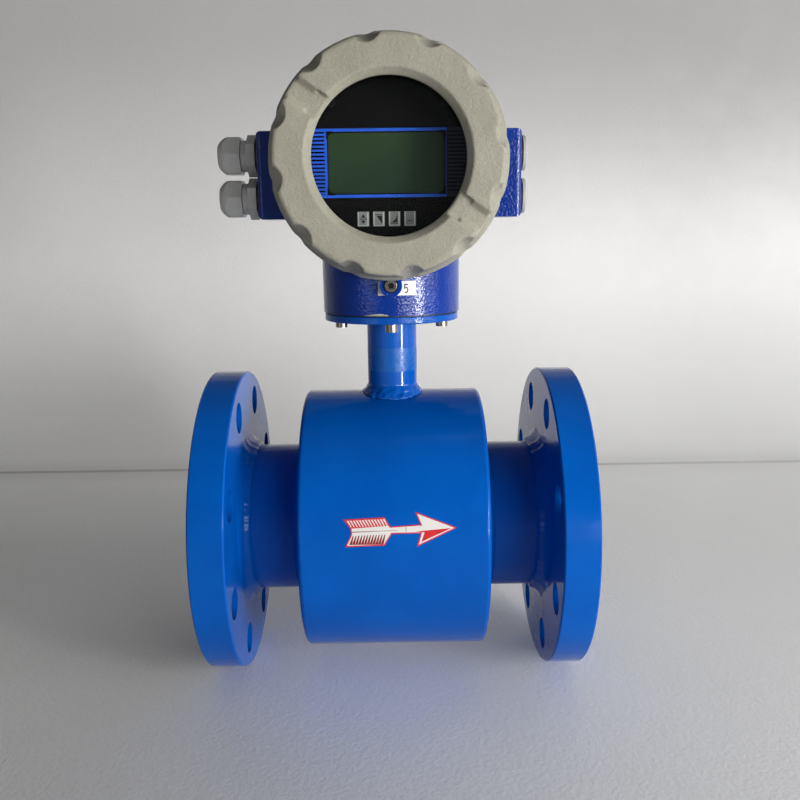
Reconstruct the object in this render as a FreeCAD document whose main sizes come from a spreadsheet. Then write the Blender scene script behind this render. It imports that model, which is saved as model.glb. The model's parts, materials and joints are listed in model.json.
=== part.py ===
import FreeCAD, Part
import math
import operator
import os
import Sketcher

# Electromagnetic flow meter: a flanged, lined measuring tube in a welded coil case,
# with a round converter head on a neck.  Millimetres.  The origin lies on the tube's
# axis at mid length, +X is the flow, +Z is up, and the display faces -Y.

SIZES = {
    # measuring tube, flanges and liner
    "body_length": 265.0,
    "tube_od": 108.0,
    "tube_wall": 4.0,
    "flange_od": 220.0,
    "flange_thickness": 24.0,
    "flange_edge": 1.0,
    "bolt_edge": 9.0,
    "bolt_hole": 22.0,
    "bolt_count": 8,
    "flange_weld": 6.0,
    "liner_wall": 3.0,
    "liner_flare": 3.0,
    "flare_gap": 2.0,
    "slip_fit": 0.1,
    # coil case
    "case_stand": 41.0,
    "case_length": 128.0,
    "case_wall": 3.0,
    "case_end": 5.0,
    "case_round": 3.0,
    "case_weld": 4.0,
    # magnet: shoes on the tube, cores, windings and the return yoke
    "shoe_thickness": 3.0,
    "shoe_length": 70.0,
    "shoe_angle": 100.0,
    "core_od": 24.0,
    "coil_od": 52.0,
    "coil_height": 20.0,
    "yoke_stand": 30.0,
    "yoke_thickness": 3.0,
    "yoke_length": 60.0,
    "part_gap": 0.3,
    # electrodes
    "electrode_head": 10.0,
    "electrode_head_depth": 1.6,
    "electrode_stem": 6.0,
    "electrode_reach": 18.0,
    "sleeve_od": 12.0,
    "sleeve_flange_od": 18.0,
    "sleeve_stand": 6.0,
    "electrode_nut": 10.0,
    "electrode_nut_height": 5.0,
    # neck and its plate
    "neck_od": 36.0,
    "neck_wall": 3.0,
    "neck_top": 149.0,
    "neck_weld_spread": 5.0,
    "neck_weld_height": 6.5,
    "plate_od": 96.5,
    "plate_thickness": 5.0,
    "plate_edge": 0.8,
    "gasket_thickness": 1.0,
    "screw_circle": 73.0,
    "screw_count": 4,
    "screw_stem": 5.0,
    "screw_hole": 5.5,
    "screw_tap": 5.2,
    "screw_length": 16.0,
    "screw_head": 8.7,
    "screw_head_height": 5.0,
    "screw_socket": 4.0,
    "washer_od": 10.0,
    "washer_thickness": 1.0,
    # converter housing; its sizes along Y are counted from the neck's axis
    "head_height": 256.6,
    "barrel_front": 55.0,
    "barrel_rear": 55.0,
    "thread_wall": 5.0,
    "barrel_shoulder": 6.0,
    "thread_length": 15.0,
    "chamber_od": 114.0,
    "partition_rear": 12.0,
    "partition_thickness": 4.0,
    "collar_od": 98.0,
    "collar_draft": 0.4,
    "collar_top": 40.0,
    "collar_bore": 58.0,
    "collar_roof": 74.0,
    "wire_passage": 24.0,
    "ear_stand": 23.0,
    "ear_height": 59.0,
    "ear_drop": 7.0,
    "ear_depth": 40.0,
    "ear_round": 3.5,
    "entry_pitch": 29.4,
    "entry_bore": 20.0,
    # cover lock at the front of the collar
    "lock_stand": 3.5,
    "lock_boss_od": 15.0,
    "lock_boss_front": 53.5,
    "lock_boss_root": 34.0,
    "lock_counterbore": 9.8,
    "lock_counterbore_depth": 3.0,
    "lock_head": 8.5,
    "lock_head_height": 4.7,
    "lock_tap": 4.2,
    "lock_stem": 4.0,
    "lock_stem_length": 8.0,
    # covers
    "cover_gap": 0.5,
    "cover_depth": 20.5,
    "cover_skirt": 15.5,
    "cover_band": 3.0,
    "cover_shoulder": 4.0,
    "cover_ring_step": 4.0,
    "cover_ring_slope": 1.5,
    "cover_round": 3.0,
    "cover_face": 4.0,
    "cover_turn": 20.0,
    "thread_fit": 0.3,
    "notch_count": 12,
    "notch_radius": 10.5,
    "notch_depth": 4.5,
    "notch_tilt": 24.0,
    "notch_reach": 30.0,
    "wrench_width": 16.0,
    "wrench_depth": 3.5,
    "wrench_inner": 40.0,
    "wrench_turn": 105.0,
    "seal_section": 2.6,
    "seal_fit": 0.3,
    # window
    "bevel_width": 4.2,
    "bevel_depth": 5.0,
    "window_lap": 4.2,
    "window_lip": 2.0,
    "sleeve_wall": 2.9,
    "glass_thickness": 5.0,
    "glass_fit": 0.3,
    "window_gasket_thickness": 1.5,
    "window_gasket_step": 0.5,
    "retainer_width": 3.0,
    "retainer_thickness": 2.0,
    "sleeve_gap": 0.8,
    # display stack, front to back along +Y
    "panel_front": 40.0,
    "panel_thickness": 1.5,
    "panel_fit": 0.6,
    "lcd_width": 76.5,
    "lcd_height": 38.9,
    "lcd_shift": 2.0,
    "lcd_drop": 1.2,
    "lcd_round": 3.0,
    "lcd_recess": 0.5,
    "lcd_border": 4.0,
    "lcd_fit": 0.2,
    "key_width": 7.7,
    "key_height": 9.6,
    "key_pitch": 10.4,
    "key_shift": 2.2,
    "key_drop": 37.3,
    "key_stand": 0.8,
    "key_depth": 3.0,
    "key_plunger": 3.6,
    "key_fit": 0.3,
    "key_clearance": 0.7,
    "switch_size": 6.0,
    "switch_height": 3.5,
    "board_thickness": 1.6,
    "board_fit": 1.5,
    "front_spacer": 8.5,
    "middle_spacer": 4.8,
    "spacer_inset": 4.4,
    "spacer_od": 5.5,
    "spacer_bore": 3.4,
    "panel_screw": 3.0,
    "panel_screw_head": 5.0,
    "panel_screw_head_height": 1.6,
    "panel_screw_bite": 3.0,
    "component_height": 3.4,
    # terminal block behind the partition
    "terminal_width": 80.0,
    "terminal_height": 20.0,
    "terminal_depth": 13.0,
    "terminal_rise": 2.0,
    "terminal_count": 8,
    "terminal_pitch": 9.4,
    "terminal_screw": 5.6,
    "terminal_screw_height": 1.2,
    "terminal_hole": 4.4,
    # cable glands and blanking plugs, outward from the ear's face
    "entry_thread": 19.7,
    "entry_thread_length": 10.0,
    "entry_washer_od": 25.0,
    "entry_washer_bore": 20.2,
    "entry_washer_thickness": 2.2,
    "gland_flats": 25.0,
    "gland_hex_length": 6.0,
    "gland_ring_od": 21.6,
    "gland_ring_length": 4.0,
    "gland_spigot_od": 18.0,
    "gland_spigot_length": 8.5,
    "gland_seat_od": 16.6,
    "gland_bore": 13.0,
    "gland_seal_bore": 13.6,
    "gland_seal_length": 10.5,
    "gland_nut_length": 16.0,
    "gland_nut_corner": 28.0,
    "gland_nut_straight": 8.0,
    "gland_nut_dome": 13.0,
    "gland_nut_nose": 17.0,
    "gland_nut_wall": 4.0,
    "plug_head_od": 24.0,
    "plug_head": 2.5,
    "plug_edge": 0.5,
    "plug_socket": 10.0,
    "plug_socket_depth": 6.0,
}

MEASURES = {"+": operator.add, "-": operator.sub, "*": operator.mul, "/": operator.truediv}
TOP_VIEW = "XY_Plane"      # a sketch's own axes lie along X and Y
FRONT_VIEW = "XZ_Plane"    # along X and Z, with its back towards +Y
SIDE_VIEW = "YZ_Plane"     # along Y and Z, with its face towards +X
LEVEL_AXIS = "H_Axis"
UPRIGHT_AXIS = "V_Axis"


class Size:
    """A length or an angle, held as a number and as the cells that give it."""

    def __init__(self, text, value):
        self.text = text
        self.value = float(value)

    def __add__(self, other):
        return combined(self, "+", other)

    def __radd__(self, other):
        return combined(other, "+", self)

    def __sub__(self, other):
        return combined(self, "-", other)

    def __rsub__(self, other):
        return combined(other, "-", self)

    def __mul__(self, other):
        return combined(self, "*", other)

    def __rmul__(self, other):
        return combined(other, "*", self)

    def __truediv__(self, other):
        return combined(self, "/", other)

    def __rtruediv__(self, other):
        return combined(other, "/", self)

    def __neg__(self):
        return combined(0.0, "-", self)


def sized(value):
    """Give a bare number the form of a Size."""
    if isinstance(value, Size):
        return value
    return Size(repr(float(value)), value)


def combined(left, sign, right):
    """Join two sizes, or a size and a number, into one expression."""
    left = sized(left)
    right = sized(right)
    text = f"({left.text} {sign} {right.text})"
    return Size(text, MEASURES[sign](left.value, right.value))


def sine(angle):
    """The sine of an angle in degrees."""
    return Size(f"sin({angle.text})", math.sin(math.radians(angle.value)))


def cosine(angle):
    """The cosine of an angle in degrees."""
    return Size(f"cos({angle.text})", math.cos(math.radians(angle.value)))


class Sizes:
    """The driving dimensions: a cell with an alias for each, read back as sizes."""

    def __init__(self, document):
        sheet = document.addObject("Spreadsheet::Sheet", "sizes")
        for row, (alias, value) in enumerate(SIZES.items(), start=1):
            sheet.set(f"A{row}", alias)
            sheet.set(f"B{row}", str(value))
            sheet.setAlias(f"B{row}", alias)
            setattr(self, alias, Size(f"sizes.{alias}", value))


doc = FreeCAD.newDocument("flow_meter")
s = Sizes(doc)
doc.recompute()
nodes = []


# ---- sketches and features -------------------------------------------------

def bind(thing, path, value):
    """Tie a property to the cells that give its value."""
    thing.setExpression(path, sized(value).text)


def new_body(label):
    """Start a sub-part: one body that is written to one file of the same name."""
    body = doc.addObject("PartDesign::Body", label)
    body.Label = label
    nodes.append(body)
    return body


def place(body, along=0.0, across=0.0, up=0.0, turn=None):
    """Put a body where it belongs; turn is an axis and an angle."""
    spot = [sized(value) for value in (along, across, up)]
    rotation = FreeCAD.Rotation()
    if turn:
        rotation = FreeCAD.Rotation(turn[0], sized(turn[1]).value)
    base = FreeCAD.Vector(*[size.value for size in spot])
    body.Placement = FreeCAD.Placement(base, rotation)
    for name, size in zip("xyz", spot):
        if size.value != 0.0:
            bind(body, f"Placement.Base.{name}", size)
    if turn and isinstance(turn[1], Size):
        bind(body, "Placement.Rotation.Angle", turn[1])


def origin_plane(body, role):
    """The body's own origin plane or axis with this role."""
    return next(part for part in body.Origin.OriginFeatures if part.Role == role)


def new_sketch(body, name, view, forward=0.0, turn=0.0):
    """Start a sketch on an origin plane, moved along its normal and turned in itself."""
    sketch = body.newObject("Sketcher::SketchObject", f"{body.Label}_{name}")
    sketch.AttachmentSupport = [(origin_plane(body, view), "")]
    sketch.MapMode = "FlatFace"
    rotation = FreeCAD.Rotation(FreeCAD.Vector(0, 0, 1), sized(turn).value)
    offset = FreeCAD.Vector(0, 0, sized(forward).value)
    sketch.AttachmentOffset = FreeCAD.Placement(offset, rotation)
    if isinstance(forward, Size):
        bind(sketch, "AttachmentOffset.Base.z", forward)
    if isinstance(turn, Size):
        bind(sketch, "AttachmentOffset.Rotation.Angle", turn)
    return sketch


def hold(sketch, line, end, across, up):
    """Fix a point of the sketch at its two distances from the sketch's origin."""
    for kind, axis, size in (("DistanceX", -2, across), ("DistanceY", -1, up)):
        if size.value == 0.0:
            rule = Sketcher.Constraint("PointOnObject", line, end, axis)
            sketch.addConstraint(rule)
            continue
        rule = Sketcher.Constraint(kind, -1, 1, line, end, size.value)
        number = sketch.addConstraint(rule)
        bind(sketch, f"Constraints[{number}]", size)


def arc_between(start, end, radius):
    """An arc from start to end; it bulges to the left of the way it goes."""
    chord = end - start
    left = FreeCAD.Vector(-chord.y, chord.x, 0)
    left.normalize()
    rise = math.sqrt(radius ** 2 - (chord.Length / 2) ** 2)
    centre = (start + end) * 0.5 - left * rise
    circle = Part.Circle(centre, FreeCAD.Vector(0, 0, 1), radius)
    return Part.ArcOfCircle(circle, circle.parameter(end), circle.parameter(start))


def draw_outline(sketch, points):
    """Draw a closed outline; a point's third value is the radius of the arc after it."""
    corners = [(sized(point[0]), sized(point[1])) for point in points]
    radii = [sized(point[2]) if len(point) > 2 else None for point in points]
    spots = [FreeCAD.Vector(across.value, up.value, 0) for across, up in corners]
    first = sketch.GeometryCount
    ends = []
    for place_in_row, radius in enumerate(radii):
        start = spots[place_in_row]
        end = spots[(place_in_row + 1) % len(spots)]
        if radius is None:
            sketch.addGeometry(Part.LineSegment(start, end), False)
            ends.append((1, 2))
        else:
            sketch.addGeometry(arc_between(start, end, radius.value), False)
            ends.append((2, 1))
    for place_in_row, (across, up) in enumerate(corners):
        line = first + place_in_row
        before = first + (place_in_row - 1) % len(corners)
        begin = ends[place_in_row][0]
        finish = ends[place_in_row - 1][1]
        rule = Sketcher.Constraint("Coincident", before, finish, line, begin)
        sketch.addConstraint(rule)
        hold(sketch, line, begin, across, up)
        if radii[place_in_row] is not None:
            radius = radii[place_in_row]
            number = sketch.addConstraint(Sketcher.Constraint("Radius", line, radius.value))
            bind(sketch, f"Constraints[{number}]", radius)


def draw_circle(sketch, across, up, diameter):
    """Draw a circle by its centre and diameter."""
    across = sized(across)
    up = sized(up)
    diameter = sized(diameter)
    centre = FreeCAD.Vector(across.value, up.value, 0)
    circle = Part.Circle(centre, FreeCAD.Vector(0, 0, 1), diameter.value / 2)
    line = sketch.addGeometry(circle, False)
    hold(sketch, line, 3, across, up)
    number = sketch.addConstraint(Sketcher.Constraint("Diameter", line, diameter.value))
    bind(sketch, f"Constraints[{number}]", diameter)


def draw_rectangle(sketch, across, up, width, height):
    """Draw a rectangle by its centre, width and height."""
    left = across - width / 2
    right = across + width / 2
    bottom = up - height / 2
    top = up + height / 2
    draw_outline(sketch, [(left, bottom), (right, bottom), (right, top), (left, top)])


def draw_hexagon(sketch, flats):
    """Draw a regular hexagon by its width across flats, with two corners on the upright."""
    side = flats / math.sqrt(3)
    draw_outline(sketch, [
        (0.0, -side),
        (flats / 2, -side / 2),
        (flats / 2, side / 2),
        (0.0, side),
        (-flats / 2, side / 2),
        (-flats / 2, -side / 2),
    ])


def feature(body, kind, name):
    """Add a feature to the body and make it the body's last."""
    made = body.newObject(f"PartDesign::{kind}", f"{body.Label}_{name}")
    body.Tip = made
    return made


def turned(body, name, view, axis, points, kind="Revolution", angle=None):
    """Turn an outline round one of the sketch's axes, to add or to cut."""
    sketch = new_sketch(body, f"{name}_profile", view)
    draw_outline(sketch, points)
    made = feature(body, kind, name)
    made.Profile = sketch
    made.ReferenceAxis = (sketch, [axis])
    if angle is not None:
        made.Midplane = True
        bind(made, "Angle", angle)
    return made


def padded(body, name, sketch, length, symmetric=False, draft=None):
    """Raise a sketch along its normal."""
    made = feature(body, "Pad", name)
    made.Profile = sketch
    bind(made, "Length", length)
    if symmetric:
        made.SideType = "Symmetric"
    if draft is not None:
        bind(made, "TaperAngle", draft)
    return made


def pocketed(body, name, sketch, depth=None, upward=False, symmetric=False):
    """Cut a sketch into the body, against its normal unless upward is set."""
    made = feature(body, "Pocket", name)
    made.Profile = sketch
    made.Reversed = upward
    if symmetric:
        made.SideType = "Symmetric"
    if depth is None:
        made.Type = "ThroughAll"
    else:
        bind(made, "Length", depth)
    return made


def repeated(body, name, originals, axis, count):
    """Repeat features evenly round one of the body's axes."""
    made = feature(body, "PolarPattern", name)
    made.Originals = originals
    made.Axis = (origin_plane(body, axis), [""])
    made.Angle = 360
    bind(made, "Occurrences", count)
    return made


def edge_names(source, wanted):
    """The names of the source's edges that the test picks."""
    doc.recompute()
    found = []
    for number, edge in enumerate(source.Shape.Edges, start=1):
        if wanted(edge):
            found.append(f"Edge{number}")
    if not found:
        raise RuntimeError(f"{source.Name} has no such edge")
    return found


def rounded(body, name, radius, wanted, kind="Fillet"):
    """Round or bevel the edges of the body's last feature that the test picks."""
    source = body.Tip
    names = edge_names(source, wanted)
    made = feature(body, kind, name)
    made.Base = (source, names)
    bind(made, "Radius" if kind == "Fillet" else "Size", radius)
    return made


def is_rim(edge, axis, place_along, diameter):
    """True for the circle of this diameter at this place along an axis."""
    if not isinstance(edge.Curve, Part.Circle):
        return False
    along = getattr(edge.Curve.Center, axis)
    near = abs(along - sized(place_along).value) < 0.01
    return near and abs(2 * edge.Curve.Radius - sized(diameter).value) < 0.01


def is_straight(edge, axis):
    """True for a straight edge along this axis."""
    if not isinstance(edge.Curve, Part.Line):
        return False
    return abs(abs(getattr(edge.tangentAt(edge.FirstParameter), axis)) - 1) < 1e-6


def middle_of(edge):
    """The middle of an edge's box."""
    return edge.BoundBox.Center


# ---- places that several sub-parts share -------------------------------------

tube_inner = s.tube_od - 2 * s.tube_wall
bore = tube_inner - 2 * s.liner_wall - 2 * s.slip_fit
half_body = s.body_length / 2
bolt_circle = s.flange_od - 2 * s.bolt_edge - s.bolt_hole
liner_flare_od = bolt_circle - s.bolt_hole - 2 * s.flare_gap
case_od = s.tube_od + 2 * s.case_stand
yoke_inner = s.tube_od + 2 * s.yoke_stand
electrode_tip = s.tube_od / 2 + s.electrode_reach
sleeve_end = s.tube_od / 2 + s.sleeve_stand
half_case = s.case_length / 2
neck_inner = s.neck_od - 2 * s.neck_wall
shoe_inner = s.tube_od + 2 * s.part_gap
shoe_outer = shoe_inner + 2 * s.shoe_thickness
electrode_hole = s.sleeve_od + 2 * s.part_gap
electrode_head_hole = s.electrode_head + 2 * s.part_gap

plate_top = s.neck_top + s.plate_thickness
collar_foot = plate_top + s.gasket_thickness - s.head_height
thread_od = s.chamber_od + 2 * s.thread_wall
barrel_od = thread_od + 2 * s.barrel_shoulder
ear_reach = barrel_od / 2 + s.ear_stand
cover_od = thread_od + 2 * s.cover_skirt
cover_ring_od = cover_od - 2 * s.cover_ring_step
lock_drop = cover_od / 2 + s.lock_stand
front_shoulder = -s.barrel_front
cover_back = s.cover_gap
cover_front = s.cover_gap + s.cover_depth
thread_inner = thread_od + 2 * s.thread_fit
seal_od = thread_od + 2 * s.seal_fit + 2 * s.seal_section
cover_sleeve_od = s.chamber_od - 2 * s.sleeve_gap
pocket_od = cover_sleeve_od - 2 * s.sleeve_wall
glass_od = pocket_od - 2 * s.glass_fit
window_od = glass_od - 2 * s.window_lap
bevel_od = window_od + 2 * s.bevel_width
window_gasket_inner = window_od + 2 * s.window_gasket_step
retainer_inner = glass_od - 2 * s.retainer_width
lip_back = cover_front - s.bevel_depth - s.window_lip
gasket_back = lip_back - s.window_gasket_thickness
glass_back = gasket_back - s.glass_thickness
retainer_back = glass_back - s.retainer_thickness

partition_front = -s.partition_rear - s.partition_thickness
panel_back = s.panel_front - s.panel_thickness
front_board = panel_back - s.front_spacer
front_board_back = front_board - s.board_thickness
rear_board = front_board_back - s.middle_spacer
rear_board_back = rear_board - s.board_thickness
board_od = s.chamber_od - 2 * s.board_fit
spacer_circle = s.chamber_od - 2 * s.spacer_inset
key_centres = [s.key_pitch * step - s.key_shift for step in (-1.5, -0.5, 0.5, 1.5)]
switch_front = front_board + s.switch_height

gland_hex_end = s.entry_washer_thickness + s.gland_hex_length
gland_ring_end = gland_hex_end + s.gland_ring_length
gland_nut_start = gland_ring_end + s.part_gap
gland_nut_end = gland_nut_start + s.gland_nut_length
gland_spigot_end = gland_ring_end + s.gland_spigot_length
entry_heights = {
    "upper": s.head_height - s.ear_drop + s.entry_pitch / 2,
    "lower": s.head_height - s.ear_drop - s.entry_pitch / 2,
}
X_WAY = FreeCAD.Vector(1, 0, 0)
Y_WAY = FreeCAD.Vector(0, 1, 0)
Z_WAY = FreeCAD.Vector(0, 0, 1)


# ---- sensor: tube, flanges, liner and coil case --------------------------------

def make_measuring_tube():
    """The steel tube that the flanges and the coil case are welded to."""
    body = new_body("measuring_tube")
    turned(body, "wall", FRONT_VIEW, LEVEL_AXIS, [
        (-half_body, tube_inner / 2),
        (half_body, tube_inner / 2),
        (half_body, s.tube_od / 2),
        (-half_body, s.tube_od / 2),
    ])
    holes = new_sketch(body, "electrode_holes", FRONT_VIEW)
    draw_circle(holes, 0.0, 0.0, electrode_hole)
    pocketed(body, "electrode_cut", holes, symmetric=True)


def make_flange(label, side):
    """A slip-on flange with its weld bead at the back and its bolt holes."""
    body = new_body(label)
    seat = s.tube_od / 2 + s.slip_fit
    thick = s.flange_thickness
    rim = s.flange_od / 2
    edge = s.flange_edge
    turned(body, "disc", FRONT_VIEW, LEVEL_AXIS, [
        (0.0, seat),
        (0.0, rim - edge),
        (edge, rim),
        (thick - edge, rim),
        (thick, rim - edge),
        (thick, seat + s.flange_weld),
        (thick + s.flange_weld, seat),
    ])
    hole = new_sketch(body, "bolt_hole", SIDE_VIEW, turn=180 / s.bolt_count)
    draw_circle(hole, 0.0, bolt_circle / 2, s.bolt_hole)
    first = pocketed(body, "bolt_cut", hole, symmetric=True)
    repeated(body, "bolt_ring", [first], "X_Axis", s.bolt_count)
    turn = (Z_WAY, 180) if side > 0 else None
    place(body, along=half_body * side, turn=turn)


def make_liner():
    """The rubber liner: a sleeve in the tube, between its two face rings."""
    body = new_body("liner")
    inner = bore / 2
    outer = tube_inner / 2 - s.slip_fit
    turned(body, "sleeve", FRONT_VIEW, LEVEL_AXIS, [
        (-half_body, inner),
        (half_body, inner),
        (half_body, outer),
        (-half_body, outer),
    ])
    holes = new_sketch(body, "electrode_holes", FRONT_VIEW)
    draw_circle(holes, 0.0, 0.0, electrode_head_hole)
    pocketed(body, "electrode_cut", holes, symmetric=True)


def make_liner_face(label, side):
    """The liner's ring on a flange face, bonded to the sleeve's end."""
    body = new_body(label)
    turned(body, "ring", FRONT_VIEW, LEVEL_AXIS, [
        (0.0, bore / 2),
        (s.liner_flare, bore / 2),
        (s.liner_flare, liner_flare_od / 2),
        (0.0, liner_flare_od / 2),
    ])
    turn = (Z_WAY, 180) if side < 0 else None
    place(body, along=half_body * side, turn=turn)


def make_coil_case_shell():
    """The rolled shell of the coil case, open under the neck."""
    body = new_body("coil_case_shell")
    end = half_case - s.case_end
    turned(body, "wall", FRONT_VIEW, LEVEL_AXIS, [
        (-end, case_od / 2 - s.case_wall),
        (end, case_od / 2 - s.case_wall),
        (end, case_od / 2),
        (-end, case_od / 2),
    ])
    hole = new_sketch(body, "neck_hole", TOP_VIEW)
    draw_circle(hole, 0.0, 0.0, neck_inner)
    pocketed(body, "neck_cut", hole, upward=True)


def make_coil_case_end(label, side):
    """A ring that closes the coil case and is welded to the tube."""
    body = new_body(label)
    seat = s.tube_od / 2 + s.slip_fit
    turned(body, "ring", FRONT_VIEW, LEVEL_AXIS, [
        (0.0, seat + s.case_weld),
        (0.0, case_od / 2),
        (s.case_end, case_od / 2),
        (s.case_end, seat),
        (-s.case_weld, seat),
    ])
    rounded(body, "rim", s.case_round, lambda edge: is_rim(edge, "x", 0.0, case_od))
    turn = (Z_WAY, 180) if side > 0 else None
    place(body, along=half_case * side, turn=turn)


# ---- sensor: magnet and electrodes ---------------------------------------------

def make_pole(label, flip):
    """A pole shoe that hugs the tube, with the core that carries the winding."""
    body = new_body(label)
    half = s.shoe_length / 2
    turned(body, "shoe", FRONT_VIEW, LEVEL_AXIS, [
        (-half, shoe_inner / 2),
        (half, shoe_inner / 2),
        (half, shoe_outer / 2),
        (-half, shoe_outer / 2),
    ], angle=s.shoe_angle)
    core = new_sketch(body, "core_outline", TOP_VIEW, forward=shoe_outer / 2 - s.shoe_thickness / 2)
    draw_circle(core, 0.0, 0.0, s.core_od)
    padded(body, "core", core, yoke_inner / 2 - shoe_outer / 2 + s.shoe_thickness)
    turned(body, "yoke_seat", FRONT_VIEW, LEVEL_AXIS, [
        (-s.core_od, yoke_inner / 2),
        (s.core_od, yoke_inner / 2),
        (s.core_od, yoke_inner / 2 + s.yoke_thickness * 2),
        (-s.core_od, yoke_inner / 2 + s.yoke_thickness * 2),
    ], kind="Groove")
    if flip:
        place(body, turn=(X_WAY, 180))


def make_coil(label, flip):
    """A winding on its core."""
    body = new_body(label)
    inner = s.core_od / 2 + s.part_gap
    foot = shoe_outer / 2 + s.part_gap
    turned(body, "winding", FRONT_VIEW, UPRIGHT_AXIS, [
        (inner, foot),
        (s.coil_od / 2, foot),
        (s.coil_od / 2, foot + s.coil_height),
        (inner, foot + s.coil_height),
    ])
    if flip:
        place(body, turn=(X_WAY, 180))


def make_yoke():
    """The steel band that closes the magnetic path between the two cores."""
    body = new_body("yoke")
    half = s.yoke_length / 2
    turned(body, "band", FRONT_VIEW, LEVEL_AXIS, [
        (-half, yoke_inner / 2),
        (half, yoke_inner / 2),
        (half, yoke_inner / 2 + s.yoke_thickness),
        (-half, yoke_inner / 2 + s.yoke_thickness),
    ])


def make_electrode(label, flip):
    """A measuring electrode: a flat head at the bore and a threaded stem."""
    body = new_body(label)
    face = -bore / 2
    neck = face - s.electrode_head_depth
    turned(body, "stud", SIDE_VIEW, LEVEL_AXIS, [
        (face, 0.0),
        (face, s.electrode_head / 2),
        (neck, s.electrode_head / 2),
        (neck, s.electrode_stem / 2),
        (-electrode_tip, s.electrode_stem / 2),
        (-electrode_tip, 0.0),
    ])
    if flip:
        place(body, turn=(Z_WAY, 180))


def make_electrode_sleeve(label, flip):
    """The insulating sleeve that keeps an electrode off the tube."""
    body = new_body(label)
    inner = s.electrode_stem / 2 + s.part_gap
    start = -bore / 2 - s.electrode_head_depth - s.part_gap
    seat = -s.tube_od / 2 - s.part_gap
    turned(body, "sleeve", SIDE_VIEW, LEVEL_AXIS, [
        (start - s.liner_wall / 2, inner),
        (start - s.liner_wall / 2, s.sleeve_od / 2),
        (seat, s.sleeve_od / 2),
        (seat, s.sleeve_flange_od / 2),
        (-sleeve_end, s.sleeve_flange_od / 2),
        (-sleeve_end, inner),
    ])
    if flip:
        place(body, turn=(Z_WAY, 180))


def make_electrode_nut(label, flip):
    """The nut that draws an electrode home."""
    body = new_body(label)
    outline = new_sketch(body, "outline", FRONT_VIEW, forward=sleeve_end)
    draw_hexagon(outline, s.electrode_nut)
    draw_circle(outline, 0.0, 0.0, s.electrode_stem + 2 * s.slip_fit)
    padded(body, "nut", outline, s.electrode_nut_height)
    if flip:
        place(body, turn=(Z_WAY, 180))


# ---- neck and its plate --------------------------------------------------------

def make_neck_tube():
    """The neck, cut to the round of the coil case and welded to it."""
    body = new_body("neck_tube")
    root = case_od / 2
    turned(body, "wall", FRONT_VIEW, UPRIGHT_AXIS, [
        (neck_inner / 2, root - 2 * s.neck_weld_height),
        (s.neck_od / 2 + s.neck_weld_spread, root - 2 * s.neck_weld_height),
        (s.neck_od / 2 + s.neck_weld_spread, root - s.neck_weld_height / 4),
        (s.neck_od / 2, root + s.neck_weld_height),
        (s.neck_od / 2, s.neck_top),
        (neck_inner / 2, s.neck_top),
    ])
    span = new_sketch(body, "case_round", SIDE_VIEW)
    draw_circle(span, 0.0, 0.0, case_od)
    pocketed(body, "case_cut", span, symmetric=True)


def draw_screw_ring(body, name, diameter, depth=None, upward=False):
    """Cut the ring of screw holes through a plate that lies in the top view."""
    hole = new_sketch(body, f"{name}_outline", TOP_VIEW)
    draw_circle(hole, s.screw_circle / 2, 0.0, diameter)
    first = pocketed(body, f"{name}_first", hole, depth=depth, upward=upward)
    repeated(body, name, [first], "Z_Axis", s.screw_count)


def make_neck_plate():
    """The round plate on top of the neck."""
    body = new_body("neck_plate")
    disc = new_sketch(body, "outline", TOP_VIEW)
    draw_circle(disc, 0.0, 0.0, s.plate_od)
    draw_circle(disc, 0.0, 0.0, neck_inner)
    padded(body, "disc", disc, s.plate_thickness)
    draw_screw_ring(body, "screw_holes", s.screw_hole, upward=True)
    rounded(body, "rim", s.plate_edge, lambda edge: is_rim(edge, "z", middle_of(edge).z, s.plate_od))
    place(body, up=s.neck_top)


def make_neck_gasket():
    """The flat gasket between the plate and the converter housing."""
    body = new_body("neck_gasket")
    ring = new_sketch(body, "outline", TOP_VIEW)
    draw_circle(ring, 0.0, 0.0, s.plate_od - 2 * s.plate_edge)
    draw_circle(ring, 0.0, 0.0, s.collar_bore)
    padded(body, "ring", ring, s.gasket_thickness)
    draw_screw_ring(body, "screw_holes", s.screw_hole, upward=True)
    place(body, up=plate_top)


def make_neck_screws():
    """The socket head screws that hold the housing on the plate, from below."""
    body = new_body("neck_screws")
    body.AllowCompound = True
    centre = s.screw_circle / 2
    seat = s.neck_top - s.washer_thickness
    head = new_sketch(body, "head_outline", TOP_VIEW, forward=seat - s.screw_head_height)
    draw_circle(head, centre, 0.0, s.screw_head)
    first_head = padded(body, "head", head, s.screw_head_height)
    stem = new_sketch(body, "stem_outline", TOP_VIEW, forward=seat)
    draw_circle(stem, centre, 0.0, s.screw_stem)
    first_stem = padded(body, "stem", stem, s.screw_length)
    socket = new_sketch(body, "socket_outline", TOP_VIEW, forward=seat - s.screw_head_height)
    draw_circle(socket, centre, 0.0, s.screw_socket)
    first_socket = pocketed(body, "socket", socket, depth=s.screw_head_height / 2, upward=True)
    made = [first_head, first_stem, first_socket]
    repeated(body, "ring", made, "Z_Axis", s.screw_count)


def make_neck_washers():
    """The flat washers under the screws' heads."""
    body = new_body("neck_washers")
    body.AllowCompound = True
    ring = new_sketch(body, "outline", TOP_VIEW, forward=s.neck_top - s.washer_thickness)
    draw_circle(ring, s.screw_circle / 2, 0.0, s.washer_od)
    draw_circle(ring, s.screw_circle / 2, 0.0, s.screw_hole)
    first = padded(body, "washer", ring, s.washer_thickness)
    repeated(body, "ring", [first], "Z_Axis", s.screw_count)


# ---- converter housing -----------------------------------------------------------

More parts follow.
